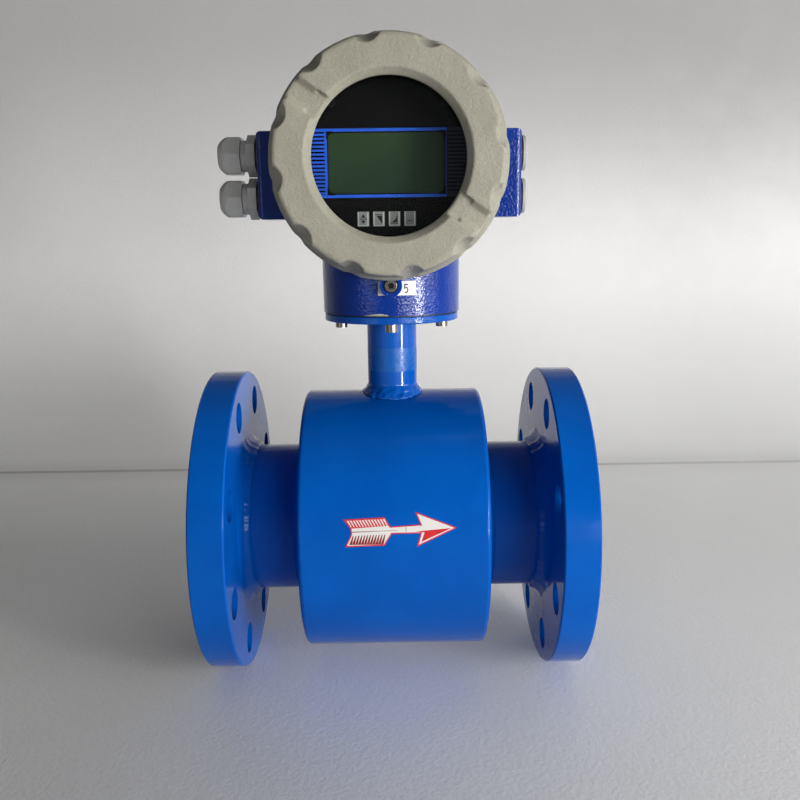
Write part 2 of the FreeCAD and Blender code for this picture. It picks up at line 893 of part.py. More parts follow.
def make_converter_housing():
    """The cast housing: a barrel with two chambers, ears, collar and lock boss."""
    body = new_body("converter_housing")
    front = -s.barrel_front - s.thread_length
    rear = s.barrel_rear + s.thread_length
    turned(body, "barrel", SIDE_VIEW, LEVEL_AXIS, [
        (front, 0.0),
        (front, thread_od / 2),
        (front_shoulder, thread_od / 2),
        (front_shoulder, barrel_od / 2),
        (s.barrel_rear, barrel_od / 2),
        (s.barrel_rear, thread_od / 2),
        (rear, thread_od / 2),
        (rear, 0.0),
    ])
    ears = new_sketch(body, "ears_outline", FRONT_VIEW)
    draw_rectangle(ears, sized(0.0), -s.ear_drop, 2 * ear_reach, s.ear_height)
    padded(body, "ears", ears, s.ear_depth, symmetric=True)
    rounded(body, "ear_corners", s.ear_round, is_ear_corner)
    collar = new_sketch(body, "collar_outline", TOP_VIEW, forward=collar_foot)
    draw_circle(collar, 0.0, 0.0, s.collar_od)
    padded(body, "collar", collar, -s.collar_top - collar_foot, draft=s.collar_draft)
    boss = new_sketch(body, "boss_outline", FRONT_VIEW, forward=s.lock_boss_root)
    draw_circle(boss, 0.0, -lock_drop, s.lock_boss_od)
    padded(body, "boss", boss, s.lock_boss_front - s.lock_boss_root)
    cut_housing(body, front, rear)
    place(body, up=s.head_height)


def is_ear_corner(edge):
    """True for the outer edges of the ears, along Y and along Z."""
    centre = middle_of(edge)
    outer = abs(abs(centre.x) - ear_reach.value) < 0.01
    return outer and (is_straight(edge, "y") or is_straight(edge, "z"))


def cut_housing(body, front, rear):
    """Hollow the housing: chambers, wire passage, entries and tapped holes."""
    wall = s.chamber_od / 2
    turned(body, "front_chamber", SIDE_VIEW, LEVEL_AXIS, [
        (front, 0.0),
        (front, wall),
        (partition_front, wall),
        (partition_front, 0.0),
    ], kind="Groove")
    turned(body, "rear_chamber", SIDE_VIEW, LEVEL_AXIS, [
        (-s.partition_rear, 0.0),
        (-s.partition_rear, wall),
        (rear, wall),
        (rear, 0.0),
    ], kind="Groove")
    hollow = new_sketch(body, "collar_hollow_outline", TOP_VIEW, forward=collar_foot)
    draw_circle(hollow, 0.0, 0.0, s.collar_bore)
    pocketed(body, "collar_hollow", hollow, -s.collar_roof - collar_foot, upward=True)
    passage = new_sketch(body, "wire_passage_outline", TOP_VIEW, forward=collar_foot)
    draw_circle(passage, 0.0, s.wire_passage / 4, s.wire_passage)
    pocketed(body, "wire_passage", passage, -collar_foot - wall / 2, upward=True)
    entries = new_sketch(body, "entries_outline", SIDE_VIEW)
    draw_circle(entries, 0.0, s.entry_pitch / 2 - s.ear_drop, s.entry_bore)
    draw_circle(entries, 0.0, -s.entry_pitch / 2 - s.ear_drop, s.entry_bore)
    pocketed(body, "entries", entries, symmetric=True)
    tap = new_sketch(body, "collar_tap_outline", TOP_VIEW, forward=collar_foot)
    draw_circle(tap, s.screw_circle / 2, 0.0, s.screw_tap)
    first = pocketed(body, "collar_tap", tap, depth=s.screw_length, upward=True)
    repeated(body, "collar_taps", [first], "Z_Axis", s.screw_count)
    seat = new_sketch(body, "lock_seat_outline", FRONT_VIEW, forward=s.lock_boss_front)
    draw_circle(seat, 0.0, -lock_drop, s.lock_counterbore)
    pocketed(body, "lock_seat", seat, s.lock_counterbore_depth)
    hole = new_sketch(body, "lock_tap_outline", FRONT_VIEW, forward=s.lock_boss_front)
    draw_circle(hole, 0.0, -lock_drop, s.lock_tap)
    pocketed(body, "lock_tap_hole", hole, s.lock_counterbore_depth + s.lock_stem_length + 1)
    board_tap = new_sketch(body, "board_tap_outline", FRONT_VIEW, forward=-partition_front, turn=45.0)
    draw_circle(board_tap, spacer_circle / 2, 0.0, s.panel_screw + 2 * s.slip_fit)
    first = pocketed(body, "board_tap", board_tap, s.panel_screw_bite + s.part_gap)
    repeated(body, "board_taps", [first], "Y_Axis", sized(4))


def make_lock_screw():
    """The socket head screw that locks the front cover."""
    body = new_body("lock_screw")
    seat = s.lock_boss_front - s.lock_counterbore_depth
    head = new_sketch(body, "head_outline", FRONT_VIEW, forward=seat)
    draw_circle(head, 0.0, 0.0, s.lock_head)
    padded(body, "head", head, s.lock_head_height)
    rounded(body, "head_rim", 0.6 * s.cover_gap,
            lambda edge: is_rim(edge, "y", -seat - s.lock_head_height, s.lock_head))
    stem = new_sketch(body, "stem_outline", FRONT_VIEW, forward=seat - s.lock_stem_length)
    draw_circle(stem, 0.0, 0.0, s.lock_stem)
    padded(body, "stem", stem, s.lock_stem_length)
    socket = new_sketch(body, "socket_outline", FRONT_VIEW, forward=seat + s.lock_head_height)
    draw_hexagon(socket, s.screw_socket)
    pocketed(body, "socket", socket, s.lock_head_height / 2)
    place(body, up=s.head_height - lock_drop)


# ---- covers: built with the back of the cover at local zero, facing -Y -------------

def cover_profile(inside):
    """The outline of a cover from its skirt to its face, closed by the inside points."""
    band = cover_od / 2
    ring = cover_ring_od / 2
    skirt = cover_back + s.cover_band
    shoulder = skirt + s.cover_shoulder
    recess = cover_back + s.seal_section + s.seal_fit - s.cover_gap
    return [
        (-cover_back, seal_od / 2 + s.seal_fit),
        (-cover_back, band),
        (-skirt, band),
        (-shoulder, ring + s.cover_ring_slope),
        (-cover_front, ring),
    ] + inside + [
        (-s.thread_length - s.cover_gap, cover_sleeve_od / 2),
        (-s.thread_length - s.cover_gap, thread_inner / 2),
        (-recess, thread_inner / 2),
        (-recess, seal_od / 2 + s.seal_fit),
    ]


def cut_grips(body):
    """Cut the finger notches round the rim and the two slots for a cover wrench."""
    reach = s.notch_reach
    notch = feature(body, "SubtractiveCylinder", "notch")
    notch.AttachmentSupport = [(origin_plane(body, FRONT_VIEW), "")]
    notch.MapMode = "FlatFace"
    bottom = cover_ring_od / 2 - s.notch_depth
    up = bottom + s.notch_radius + sine(s.notch_tilt) * reach
    forward = cover_front - cosine(s.notch_tilt) * reach
    tilt = FreeCAD.Rotation(X_WAY, s.notch_tilt.value)
    spot = FreeCAD.Vector(0, up.value, forward.value)
    notch.AttachmentOffset = FreeCAD.Placement(spot, tilt)
    bind(notch, "AttachmentOffset.Base.y", up)
    bind(notch, "AttachmentOffset.Base.z", forward)
    bind(notch, "AttachmentOffset.Rotation.Angle", s.notch_tilt)
    bind(notch, "Radius", s.notch_radius)
    bind(notch, "Height", 2 * reach)
    repeated(body, "notches", [notch], "Y_Axis", s.notch_count)
    slot = new_sketch(body, "wrench_outline", FRONT_VIEW, forward=cover_front, turn=-s.wrench_turn)
    middle = (s.wrench_inner + cover_od / 2) / 2
    draw_rectangle(slot, sized(0.0), middle, s.wrench_width, cover_od / 2 - s.wrench_inner)
    first = pocketed(body, "wrench_slot", slot, s.wrench_depth)
    repeated(body, "wrench_slots", [first], "Y_Axis", sized(2))


def is_cover_rim(edge):
    """True for the outer rim of a cover's face."""
    return is_rim(edge, "y", -cover_front, cover_ring_od)


def make_front_cover():
    """The window cover: threaded skirt, grips, bevelled opening and glass pocket."""
    body = new_body("front_cover")
    inside = [
        (-cover_front, bevel_od / 2),
        (-cover_front + s.bevel_depth, window_od / 2),
        (-lip_back, window_od / 2),
        (-lip_back, pocket_od / 2),
        (-retainer_back, pocket_od / 2),
        (-retainer_back, cover_sleeve_od / 2),
    ]
    turned(body, "casting", SIDE_VIEW, LEVEL_AXIS, cover_profile(inside))
    rounded(body, "rim", s.cover_round, is_cover_rim)
    cut_grips(body)
    place(body, across=-s.barrel_front, up=s.head_height, turn=(Y_WAY, s.cover_turn))


def make_rear_cover():
    """The blind cover of the terminal chamber."""
    body = new_body("rear_cover")
    inside = [
        (-cover_front, 0.0),
        (-cover_front + s.cover_face, 0.0),
        (-cover_front + s.cover_face, cover_sleeve_od / 2),
    ]
    turned(body, "casting", SIDE_VIEW, LEVEL_AXIS, cover_profile(inside))
    rounded(body, "rim", s.cover_round, is_cover_rim)
    cut_grips(body)
    place(body, across=s.barrel_rear, up=s.head_height, turn=(Z_WAY, 180))


def make_cover_seal(label, side):
    """The O-ring that sits in the cover against the barrel's shoulder."""
    body = new_body(label)
    ring = new_sketch(body, "section", SIDE_VIEW)
    middle = s.seal_section / 2 + s.seal_fit
    draw_circle(ring, -middle, thread_od / 2 + middle, s.seal_section)
    made = feature(body, "Revolution", "ring")
    made.Profile = ring
    made.ReferenceAxis = (ring, [LEVEL_AXIS])
    if side < 0:
        place(body, across=-s.barrel_front, up=s.head_height)
    else:
        place(body, across=s.barrel_rear, up=s.head_height, turn=(Z_WAY, 180))


def make_window_ring(label, front, back, inner, outer):
    """A flat ring or disc in the glass pocket, from front to back."""
    body = new_body(label)
    disc = new_sketch(body, "outline", FRONT_VIEW, forward=back)
    draw_circle(disc, 0.0, 0.0, outer)
    if inner is not None:
        draw_circle(disc, 0.0, 0.0, inner)
    padded(body, "disc", disc, front - back)
    place(body, across=-s.barrel_front, up=s.head_height)


# ---- display stack -------------------------------------------------------------

def cut_spacer_holes(body, forward, diameter, depth):
    """Cut the four holes through which the panel's screws pass."""
    hole = new_sketch(body, "spacer_hole_outline", FRONT_VIEW, forward=forward, turn=45.0)
    draw_circle(hole, spacer_circle / 2, 0.0, diameter)
    first = pocketed(body, "spacer_hole", hole, depth)
    repeated(body, "spacer_holes", [first], "Y_Axis", sized(4))


def make_display_panel():
    """The front plate of the display, with its window and its key openings."""
    body = new_body("display_panel")
    disc = new_sketch(body, "outline", FRONT_VIEW, forward=panel_back)
    draw_circle(disc, 0.0, 0.0, s.chamber_od - 2 * s.panel_fit)
    draw_rectangle(disc, -s.lcd_shift, -s.lcd_drop, s.lcd_width, s.lcd_height)
    for centre in key_centres:
        width = s.key_width + 2 * s.key_fit
        height = s.key_height + 2 * s.key_fit
        draw_rectangle(disc, centre, -s.key_drop, width, height)
    padded(body, "plate", disc, s.panel_thickness)
    rounded(body, "window_corners", s.lcd_round, is_window_corner)
    cut_spacer_holes(body, s.panel_front, s.spacer_bore, s.panel_thickness)
    place(body, up=s.head_height)


def is_window_corner(edge):
    """True for the corners of the window in the display panel."""
    centre = middle_of(edge)
    beside = abs(abs(centre.x + s.lcd_shift.value) - s.lcd_width.value / 2) < 0.01
    return beside and is_straight(edge, "y")


def make_lcd_module():
    """The framed display module behind the panel."""
    body = new_body("lcd_module")
    outline = new_sketch(body, "outline", FRONT_VIEW, forward=front_board)
    width = s.lcd_width + 2 * s.lcd_border
    height = s.lcd_height + 2 * s.lcd_border
    draw_rectangle(outline, -s.lcd_shift, -s.lcd_drop, width, height)
    padded(body, "frame", outline, s.front_spacer - s.lcd_fit)
    place(body, up=s.head_height)


def make_lcd_glass():
    """The display glass in the panel's window."""
    body = new_body("lcd_glass")
    outline = new_sketch(body, "outline", FRONT_VIEW, forward=panel_back - s.lcd_fit)
    width = s.lcd_width - 2 * s.lcd_fit
    height = s.lcd_height - 2 * s.lcd_fit
    draw_rectangle(outline, -s.lcd_shift, -s.lcd_drop, width, height)
    padded(body, "glass", outline, s.panel_thickness + s.lcd_fit - s.lcd_recess)
    rounded(body, "corners", s.lcd_round - s.lcd_fit, lambda edge: is_straight(edge, "y"))
    place(body, up=s.head_height)


def make_key(label, centre):
    """A key: a cap in the panel's opening with a plunger over its switch."""
    body = new_body(label)
    cap_front = s.panel_front + s.key_stand
    cap_back = cap_front - s.key_depth
    cap = new_sketch(body, "cap_outline", FRONT_VIEW, forward=cap_back)
    draw_rectangle(cap, centre, -s.key_drop, s.key_width, s.key_height)
    padded(body, "cap", cap, s.key_depth)
    plunger = new_sketch(body, "plunger_outline", FRONT_VIEW, forward=switch_front + s.key_clearance)
    draw_circle(plunger, centre, -s.key_drop, s.key_plunger)
    padded(body, "plunger", plunger, cap_back - switch_front - s.key_clearance)
    place(body, up=s.head_height)


def make_key_switches():
    """The four push switches on the display board."""
    body = new_body("key_switches")
    body.AllowCompound = True
    outline = new_sketch(body, "outline", FRONT_VIEW, forward=front_board)
    for centre in key_centres:
        draw_rectangle(outline, centre, -s.key_drop, s.switch_size, s.switch_size)
    padded(body, "switches", outline, s.switch_height)
    place(body, up=s.head_height)


def make_board(label, back, parts):
    """A round circuit board; parts are its soldered blocks, on its front side."""
    body = new_body(label)
    disc = new_sketch(body, "outline", FRONT_VIEW, forward=back)
    draw_circle(disc, 0.0, 0.0, board_od)
    padded(body, "disc", disc, s.board_thickness)
    if parts:
        blocks = new_sketch(body, "parts_outline", FRONT_VIEW, forward=back + s.board_thickness)
        for across, up, width, height in parts:
            draw_rectangle(blocks, sized(across), sized(up), sized(width), sized(height))
        padded(body, "parts", blocks, s.component_height)
    cut_spacer_holes(body, back + s.board_thickness, s.spacer_bore, s.board_thickness)
    place(body, up=s.head_height)


def make_board_spacers():
    """The spacers between the partition, the two boards and the panel."""
    body = new_body("board_spacers")
    body.AllowCompound = True
    rows = (
        ("rear", -partition_front, rear_board_back + partition_front),
        ("middle", rear_board, s.middle_spacer),
        ("front", front_board, s.front_spacer),
    )
    made = []
    for name, forward, length in rows:
        ring = new_sketch(body, f"{name}_outline", FRONT_VIEW, forward=forward, turn=45.0)
        draw_circle(ring, spacer_circle / 2, 0.0, s.spacer_od)
        draw_circle(ring, spacer_circle / 2, 0.0, s.spacer_bore)
        made.append(padded(body, name, ring, length))
    repeated(body, "ring", made, "Y_Axis", sized(4))
    place(body, up=s.head_height)


def make_panel_screws():
    """The long screws that clamp panel, boards and spacers to the partition."""
    body = new_body("panel_screws")
    body.AllowCompound = True
    tip = -partition_front - s.panel_screw_bite
    stem = new_sketch(body, "stem_outline", FRONT_VIEW, forward=tip, turn=45.0)
    draw_circle(stem, spacer_circle / 2, 0.0, s.panel_screw)
    first_stem = padded(body, "stem", stem, s.panel_front - tip)
    head = new_sketch(body, "head_outline", FRONT_VIEW, forward=s.panel_front, turn=45.0)
    draw_circle(head, spacer_circle / 2, 0.0, s.panel_screw_head)
    first_head = padded(body, "head", head, s.panel_screw_head_height)
    repeated(body, "ring", [first_stem, first_head], "Y_Axis", sized(4))
    place(body, up=s.head_height)


# ---- terminal chamber ------------------------------------------------------------

def terminal_centres():
    """The places of the terminals across the block."""
    count = int(SIZES["terminal_count"])
    return [s.terminal_pitch * (step - (count - 1) / 2) for step in range(count)]


def make_terminal_block():
    """The terminal block on the partition, open below for the wires."""
    body = new_body("terminal_block")
    block = new_sketch(body, "outline", FRONT_VIEW, forward=s.partition_rear - s.terminal_depth)
    draw_rectangle(block, sized(0.0), s.terminal_rise, s.terminal_width, s.terminal_height)
    padded(body, "block", block, s.terminal_depth)
    foot = s.terminal_rise - s.terminal_height / 2
    wires = new_sketch(body, "wire_holes_outline", TOP_VIEW, forward=foot)
    for centre in terminal_centres():
        draw_circle(wires, centre, s.terminal_depth / 2 - s.partition_rear, s.terminal_hole)
    pocketed(body, "wire_holes", wires, s.terminal_height / 2, upward=True)
    place(body, up=s.head_height)


def make_terminal_screws():
    """The clamp screws on the face of the terminal block."""
    body = new_body("terminal_screws")
    body.AllowCompound = True
    face = s.partition_rear - s.terminal_depth
    heads = new_sketch(body, "outline", FRONT_VIEW, forward=face - s.terminal_screw_height)
    for centre in terminal_centres():
        draw_circle(heads, centre, s.terminal_rise, s.terminal_screw)
    padded(body, "heads", heads, s.terminal_screw_height)
    place(body, up=s.head_height)


# ---- cable entries: built pointing along +X from the ear's face ----------------------

def place_entry(body, side, level):
    """Put a cable entry's piece on the ear at this side and level."""
    turn = (Z_WAY, 180) if side < 0 else None
    place(body, along=ear_reach * side, up=entry_heights[level], turn=turn)


def make_entry_washer(label, side, level):
    """The sealing washer under a gland or a plug."""
    body = new_body(label)
    ring = new_sketch(body, "outline", SIDE_VIEW)
    draw_circle(ring, 0.0, 0.0, s.entry_washer_od)
    draw_circle(ring, 0.0, 0.0, s.entry_washer_bore)
    padded(body, "ring", ring, s.entry_washer_thickness)
    place_entry(body, side, level)


def make_gland_body(label, level):
    """The gland's body: thread, hexagon, plain ring and spigot."""
    body = new_body(label)
    seat = s.entry_washer_thickness
    turned(body, "core", FRONT_VIEW, LEVEL_AXIS, [
        (-s.entry_thread_length, s.gland_bore / 2),
        (-s.entry_thread_length, s.entry_thread / 2),
        (gland_hex_end, s.entry_thread / 2),
        (gland_hex_end, s.gland_ring_od / 2),
        (gland_ring_end, s.gland_ring_od / 2),
        (gland_ring_end, s.gland_spigot_od / 2),
        (gland_spigot_end, s.gland_spigot_od / 2),
        (gland_spigot_end, s.gland_seat_od / 2),
        (gland_ring_end, s.gland_seat_od / 2),
        (gland_ring_end, s.gland_bore / 2),
    ])
    hexagon = new_sketch(body, "hexagon_outline", SIDE_VIEW, forward=seat)
    draw_hexagon(hexagon, s.gland_flats)
    draw_circle(hexagon, 0.0, 0.0, (s.gland_bore + s.entry_thread) / 2)
    padded(body, "hexagon", hexagon, s.gland_hex_length)
    place_entry(body, -1, level)


def make_gland_seal(label, level):
    """The rubber sleeve that grips the cable."""
    body = new_body(label)
    ring = new_sketch(body, "outline", SIDE_VIEW, forward=gland_ring_end + s.part_gap)
    draw_circle(ring, 0.0, 0.0, s.gland_seat_od - 2 * s.part_gap)
    draw_circle(ring, 0.0, 0.0, s.gland_seal_bore)
    padded(body, "sleeve", ring, s.gland_seal_length)
    place_entry(body, -1, level)


def make_gland_nut(label, level):
    """The domed nut: turned all over, then milled to six flats."""
    body = new_body(label)
    seal_end = gland_ring_end + 2 * s.part_gap + s.gland_seal_length
    inner = s.gland_spigot_od / 2 + s.part_gap
    dome = gland_nut_start + s.gland_nut_straight
    turned(body, "dome", FRONT_VIEW, LEVEL_AXIS, [
        (gland_nut_start, inner),
        (gland_nut_start, s.gland_nut_corner / 2),
        (dome, s.gland_nut_corner / 2, s.gland_nut_dome),
        (gland_nut_end, s.gland_nut_nose / 2),
        (gland_nut_end, s.gland_bore / 2 + s.part_gap),
        (seal_end, s.gland_bore / 2 + s.part_gap),
        (seal_end, inner),
    ])
    flat = new_sketch(body, "flat_outline", SIDE_VIEW, forward=gland_nut_start)
    depth = s.gland_nut_corner - s.gland_flats
    draw_rectangle(flat, sized(0.0), s.gland_flats / 2 + depth / 2, s.gland_nut_corner, depth)
    first = pocketed(body, "flat", flat, s.gland_nut_length, upward=True)
    repeated(body, "flats", [first], "X_Axis", sized(6))
    place_entry(body, -1, level)


def make_blanking_plug(label, level):
    """A blanking plug with a low head and a hexagon socket."""
    body = new_body(label)
    seat = s.entry_washer_thickness
    top = seat + s.plug_head
    turned(body, "plug", FRONT_VIEW, LEVEL_AXIS, [
        (-s.entry_thread_length, 0.0),
        (-s.entry_thread_length, s.entry_thread / 2),
        (seat, s.entry_thread / 2),
        (seat, s.plug_head_od / 2),
        (top - s.plug_edge, s.plug_head_od / 2),
        (top, s.plug_head_od / 2 - s.plug_edge),
        (top, 0.0),
    ])
    socket = new_sketch(body, "socket_outline", SIDE_VIEW, forward=top)
    draw_hexagon(socket, s.plug_socket)
    pocketed(body, "socket", socket, s.plug_socket_depth)
    place_entry(body, 1, level)


def make_sensor():
    """Everything below the converter housing."""
    make_measuring_tube()
    make_flange("inlet_flange", -1)
    make_flange("outlet_flange", 1)
    make_liner()
    make_liner_face("liner_face_inlet", -1)
    make_liner_face("liner_face_outlet", 1)
    make_coil_case_shell()
    make_coil_case_end("coil_case_end_inlet", -1)
    make_coil_case_end("coil_case_end_outlet", 1)
    for label, flip in (("upper", False), ("lower", True)):
        make_pole(f"{label}_pole", flip)
        make_coil(f"{label}_coil", flip)
    make_yoke()
    for label, flip in (("front", False), ("rear", True)):
        make_electrode(f"{label}_electrode", flip)
        make_electrode_sleeve(f"{label}_electrode_sleeve", flip)
        make_electrode_nut(f"{label}_electrode_nut", flip)
    make_neck_tube()
    make_neck_plate()
    make_neck_gasket()
    make_neck_screws()
    make_neck_washers()


def make_covers():
    """Both covers with their seals, and the window."""
    make_front_cover()
    make_rear_cover()
    make_cover_seal("front_cover_seal", -1)
    make_cover_seal("rear_cover_seal", 1)
    make_window_ring("window_gasket", lip_back, gasket_back, window_gasket_inner, glass_od)
    make_window_ring("window_glass", gasket_back, glass_back, None, glass_od)
    make_window_ring("glass_retainer", glass_back, retainer_back, retainer_inner, glass_od)


def make_electronics():
    """The display stack and the terminals."""
    make_display_panel()
    make_lcd_module()
    make_lcd_glass()
    for number, centre in enumerate(key_centres, start=1):
        make_key(f"key_{number}", centre)
    make_key_switches()
    make_board("display_board", front_board_back, [])
    make_board("main_board", rear_board_back, [
        (-20.0, 15.0, 30.0, 24.0),
        (20.0, 14.0, 22.0, 22.0),
        (12.0, -20.0, 14.0, 14.0),
        (-18.0, -22.0, 26.0, 10.0),
    ])
    make_board_spacers()
    make_panel_screws()
    make_terminal_block()
    make_terminal_screws()


def make_entries():
    """The two glands on the left ear and the two plugs on the right one."""
    for level in ("upper", "lower"):
        make_entry_washer(f"gland_washer_{level}", -1, level)
        make_gland_body(f"gland_body_{level}", level)
        make_gland_seal(f"gland_seal_{level}", level)
        make_gland_nut(f"gland_nut_{level}", level)
        make_entry_washer(f"plug_washer_{level}", 1, level)
        make_blanking_plug(f"blanking_plug_{level}", level)


def check_document():
    """Stop if any object failed to compute or any sub-part has no sound shape."""
    for thing in doc.Objects:
        if "Invalid" in thing.State or "Error" in thing.State:
            raise RuntimeError(f"{thing.Label} did not compute")
    for body in nodes:
        if body.Shape.isNull() or not body.Shape.isValid() or not body.Shape.Solids:
            raise RuntimeError(f"{body.Label} has no sound shape")


def write_parts():
    """Write each sub-part to its own file."""
    os.makedirs("parts", exist_ok=True)
    for body in nodes:
        body.Shape.exportStep(f"parts/{body.Label}.step")


make_sensor()
make_converter_housing()
make_lock_screw()
make_covers()
make_electronics()
make_entries()
doc.recompute()
check_document()
write_parts()
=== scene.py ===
import json
import math

import bmesh
import bpy
from mathutils import Matrix, Vector, noise


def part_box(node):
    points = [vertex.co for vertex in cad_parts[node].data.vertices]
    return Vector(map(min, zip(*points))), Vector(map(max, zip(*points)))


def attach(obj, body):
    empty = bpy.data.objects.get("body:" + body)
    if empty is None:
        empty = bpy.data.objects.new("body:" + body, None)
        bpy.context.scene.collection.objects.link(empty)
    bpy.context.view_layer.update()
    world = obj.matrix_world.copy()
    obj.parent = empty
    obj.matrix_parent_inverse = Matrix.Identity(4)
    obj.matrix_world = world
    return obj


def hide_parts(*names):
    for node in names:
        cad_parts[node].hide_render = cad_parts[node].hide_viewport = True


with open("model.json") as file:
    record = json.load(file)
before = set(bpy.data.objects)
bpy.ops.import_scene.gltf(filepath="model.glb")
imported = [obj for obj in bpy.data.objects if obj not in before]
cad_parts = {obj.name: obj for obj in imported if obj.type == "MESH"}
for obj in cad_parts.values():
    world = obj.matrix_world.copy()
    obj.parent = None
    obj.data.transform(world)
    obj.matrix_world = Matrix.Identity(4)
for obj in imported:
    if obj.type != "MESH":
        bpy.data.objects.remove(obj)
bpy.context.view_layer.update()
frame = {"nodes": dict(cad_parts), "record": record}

MM = 0.001
NODES = frame["nodes"]
SLOT_OF = {part["node"]: part["material_slot"] for part in frame["record"]["subparts"]}

# Places read from the frame, in metres
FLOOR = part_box("inlet_flange")[0].z
CASE_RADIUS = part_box("coil_case_shell")[1].y
CASE_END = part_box("coil_case_end_outlet")[1].x
PIPE_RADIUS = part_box("measuring_tube")[1].z
PANEL_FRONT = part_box("display_panel")[0].y
HEAD_Z = (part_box("front_cover")[0].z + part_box("front_cover")[1].z) / 2
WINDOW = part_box("lcd_glass")
PLATE_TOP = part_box("neck_plate")[1].z
# Round pieces whose radius a box doesn't give
COLLAR_RADIUS = 49 * MM
COLLAR_DRAFT = 0.0078  # how far the collar widens for each metre that it rises
NECK_RADIUS = 18 * MM

# The camera, as fitted to the picture
LENS = 38.367
SENSOR_WIDTH = 36.0
CLIP = (0.02, 20.0)
CAMERA_PLACE = (0.0018, -0.623287, 0.208339)
CAMERA_FORWARD = (0.0056136, 0.98185217, -0.18956476)
CAMERA_UP = Vector((0.02192726, 0.18940131, 0.9816549))
CAMERA_RIGHT = Vector((0.99974381, -0.00966726, -0.0204661))
CAMERA_ROLL = 0.0080  # the head of the real one leans a little, so the camera rolls by half of that

# The stage, in metres
STAGE_FRONT = -2.3
STAGE_SIDE = 2.6
WALL_Y = 0.82
WALL_TOP = 0.64
COVE_RADIUS = 0.26
COVE_STEPS = 16
CORNER_SHADE_Y = 0.531  # where the painted shade lies that stands for a corner between floor and wall: a dark line

# The light. It is set for the view from the front: from behind, toward the lamps, the far floor
# and the object's top edges burn out.
SOFT_WHITE = (1.0, 0.995, 0.985)
LAMPS = (  # name, place, target, width, height, watts, colour, spread in degrees
    ("window_right", (3.74, -2.09, 0.78), (0, 0, 0.08), 2.64, 1.98, 78.0, (1.0, 0.99, 0.97), 180),
    ("strip_right", (0.80, -0.76, 0.12), (0, 0, 0.12), 0.09, 0.46, 1.0, SOFT_WHITE, 70),
    ("front_right", (2.1, -3.5, 0.27), (0, 0, 0.05), 2.2, 1.0, 61.0, SOFT_WHITE, 180),
    ("front_left", (-2.4, -3.2, 0.19), (0, 0, 0.05), 1.8, 1.0, 8.0, SOFT_WHITE, 180),
)
WORLD_COLOUR = (0.97, 0.985, 1.0, 1)
WORLD_RAMPS = (  # axis, and from, to, strength there: the strengths of the three are multiplied
    ("Z", (0.05, 0.8, 0.42, 0.20)),
    ("X", (-0.9, 0.9, 0.10, 1.2)),
    ("Y", (-0.9, 0.3, 0.36, 1.2)),
)
BACKDROP_STRENGTH = 0.40
BACKDROP_FADE = (0.15, 0.5, 1.0, 0.0)
BACKDROP_IN_GLOSS = 0.4


# ---------------------------------------------------------------- camera and lamps

def aim(ob, place, forward, up):
    """Puts a camera or lamp at a place, looking along forward."""
    z = -Vector(forward).normalized()
    x = Vector(up).cross(z).normalized()
    turn = Matrix((x, z.cross(x), z)).transposed().to_4x4()
    ob.matrix_world = Matrix.Translation(place) @ turn


def add(name, data):
    """A new object in the scene."""
    ob = bpy.data.objects.new(name, data)
    bpy.context.scene.collection.objects.link(ob)
    return ob


def make_camera():
    data = bpy.data.cameras.new("camera")
    data.sensor_width = SENSOR_WIDTH
    data.lens = LENS
    data.clip_start, data.clip_end = CLIP
    camera = add("camera", data)
    aim(camera, CAMERA_PLACE, CAMERA_FORWARD, CAMERA_UP - CAMERA_RIGHT * CAMERA_ROLL)
    bpy.context.scene.camera = camera


def make_lamp(name, place, target, width, height, power, colour, spread):
    data = bpy.data.lights.new(name, "AREA")
    data.shape = "RECTANGLE"
    data.size, data.size_y = width, height
    data.energy = power
    data.color = colour
    data.spread = math.radians(spread)
    lamp = add(name, data)
    lamp.visible_camera = False
    aim(lamp, place, Vector(target) - Vector(place), (0, 0, 1))


# ---------------------------------------------------------------- short calls for shader nodes

def linear(red, green, blue):
    """An sRGB colour, 0 to 255, as the linear one that a shader takes."""
    def one(c):
        c /= 255
        return c / 12.92 if c <= 0.04045 else ((c + 0.055) / 1.055) ** 2.4
    return (one(red), one(green), one(blue), 1.0)


def scaled(colour, factor):
    """A linear colour, darker by a factor."""
    return tuple(c * factor for c in colour[:3]) + (1.0,)


class Nodes:
    """Short calls that add nodes to a tree."""

    def __init__(self, tree):
        self.tree = tree

    def feed(self, value, socket):
        """Links a socket to a value that is a socket itself, or else sets it."""
        if isinstance(value, bpy.types.NodeSocket):
            self.tree.links.new(value, socket)
        else:
            socket.default_value = value

    def node(self, kind, inputs=None, **settings):
        made = self.tree.nodes.new("ShaderNode" + kind)
        for name, value in settings.items():
            setattr(made, name, value)
        for name, value in (inputs or {}).items():
            self.feed(value, made.inputs[name])
        return made

    def fit(self, value, low, high, to_low=0.0, to_high=1.0):
        """A value's run from low to high, as a smooth run from to_low to to_high."""
        return self.node("MapRange", {"Value": value, "From Min": low, "From Max": high, "To Min": to_low,
                                      "To Max": to_high}, interpolation_type="SMOOTHSTEP").outputs[0]

    def sums(self, kind, first, second):
        made = self.node("Math", operation=kind)
        self.feed(first, made.inputs[0])
        self.feed(second, made.inputs[1])
        return made.outputs[0]

    def seen(self, gloss=1.0):
        """1 for what the camera sees straight or through glass, and gloss for what it sees reflected."""
        path = self.node("LightPath").outputs
        straight = self.sums("MAXIMUM", path["Is Camera Ray"], path["Is Transmission Ray"])
        return self.sums("MAXIMUM", straight, self.sums("MULTIPLY", path["Is Glossy Ray"], gloss))


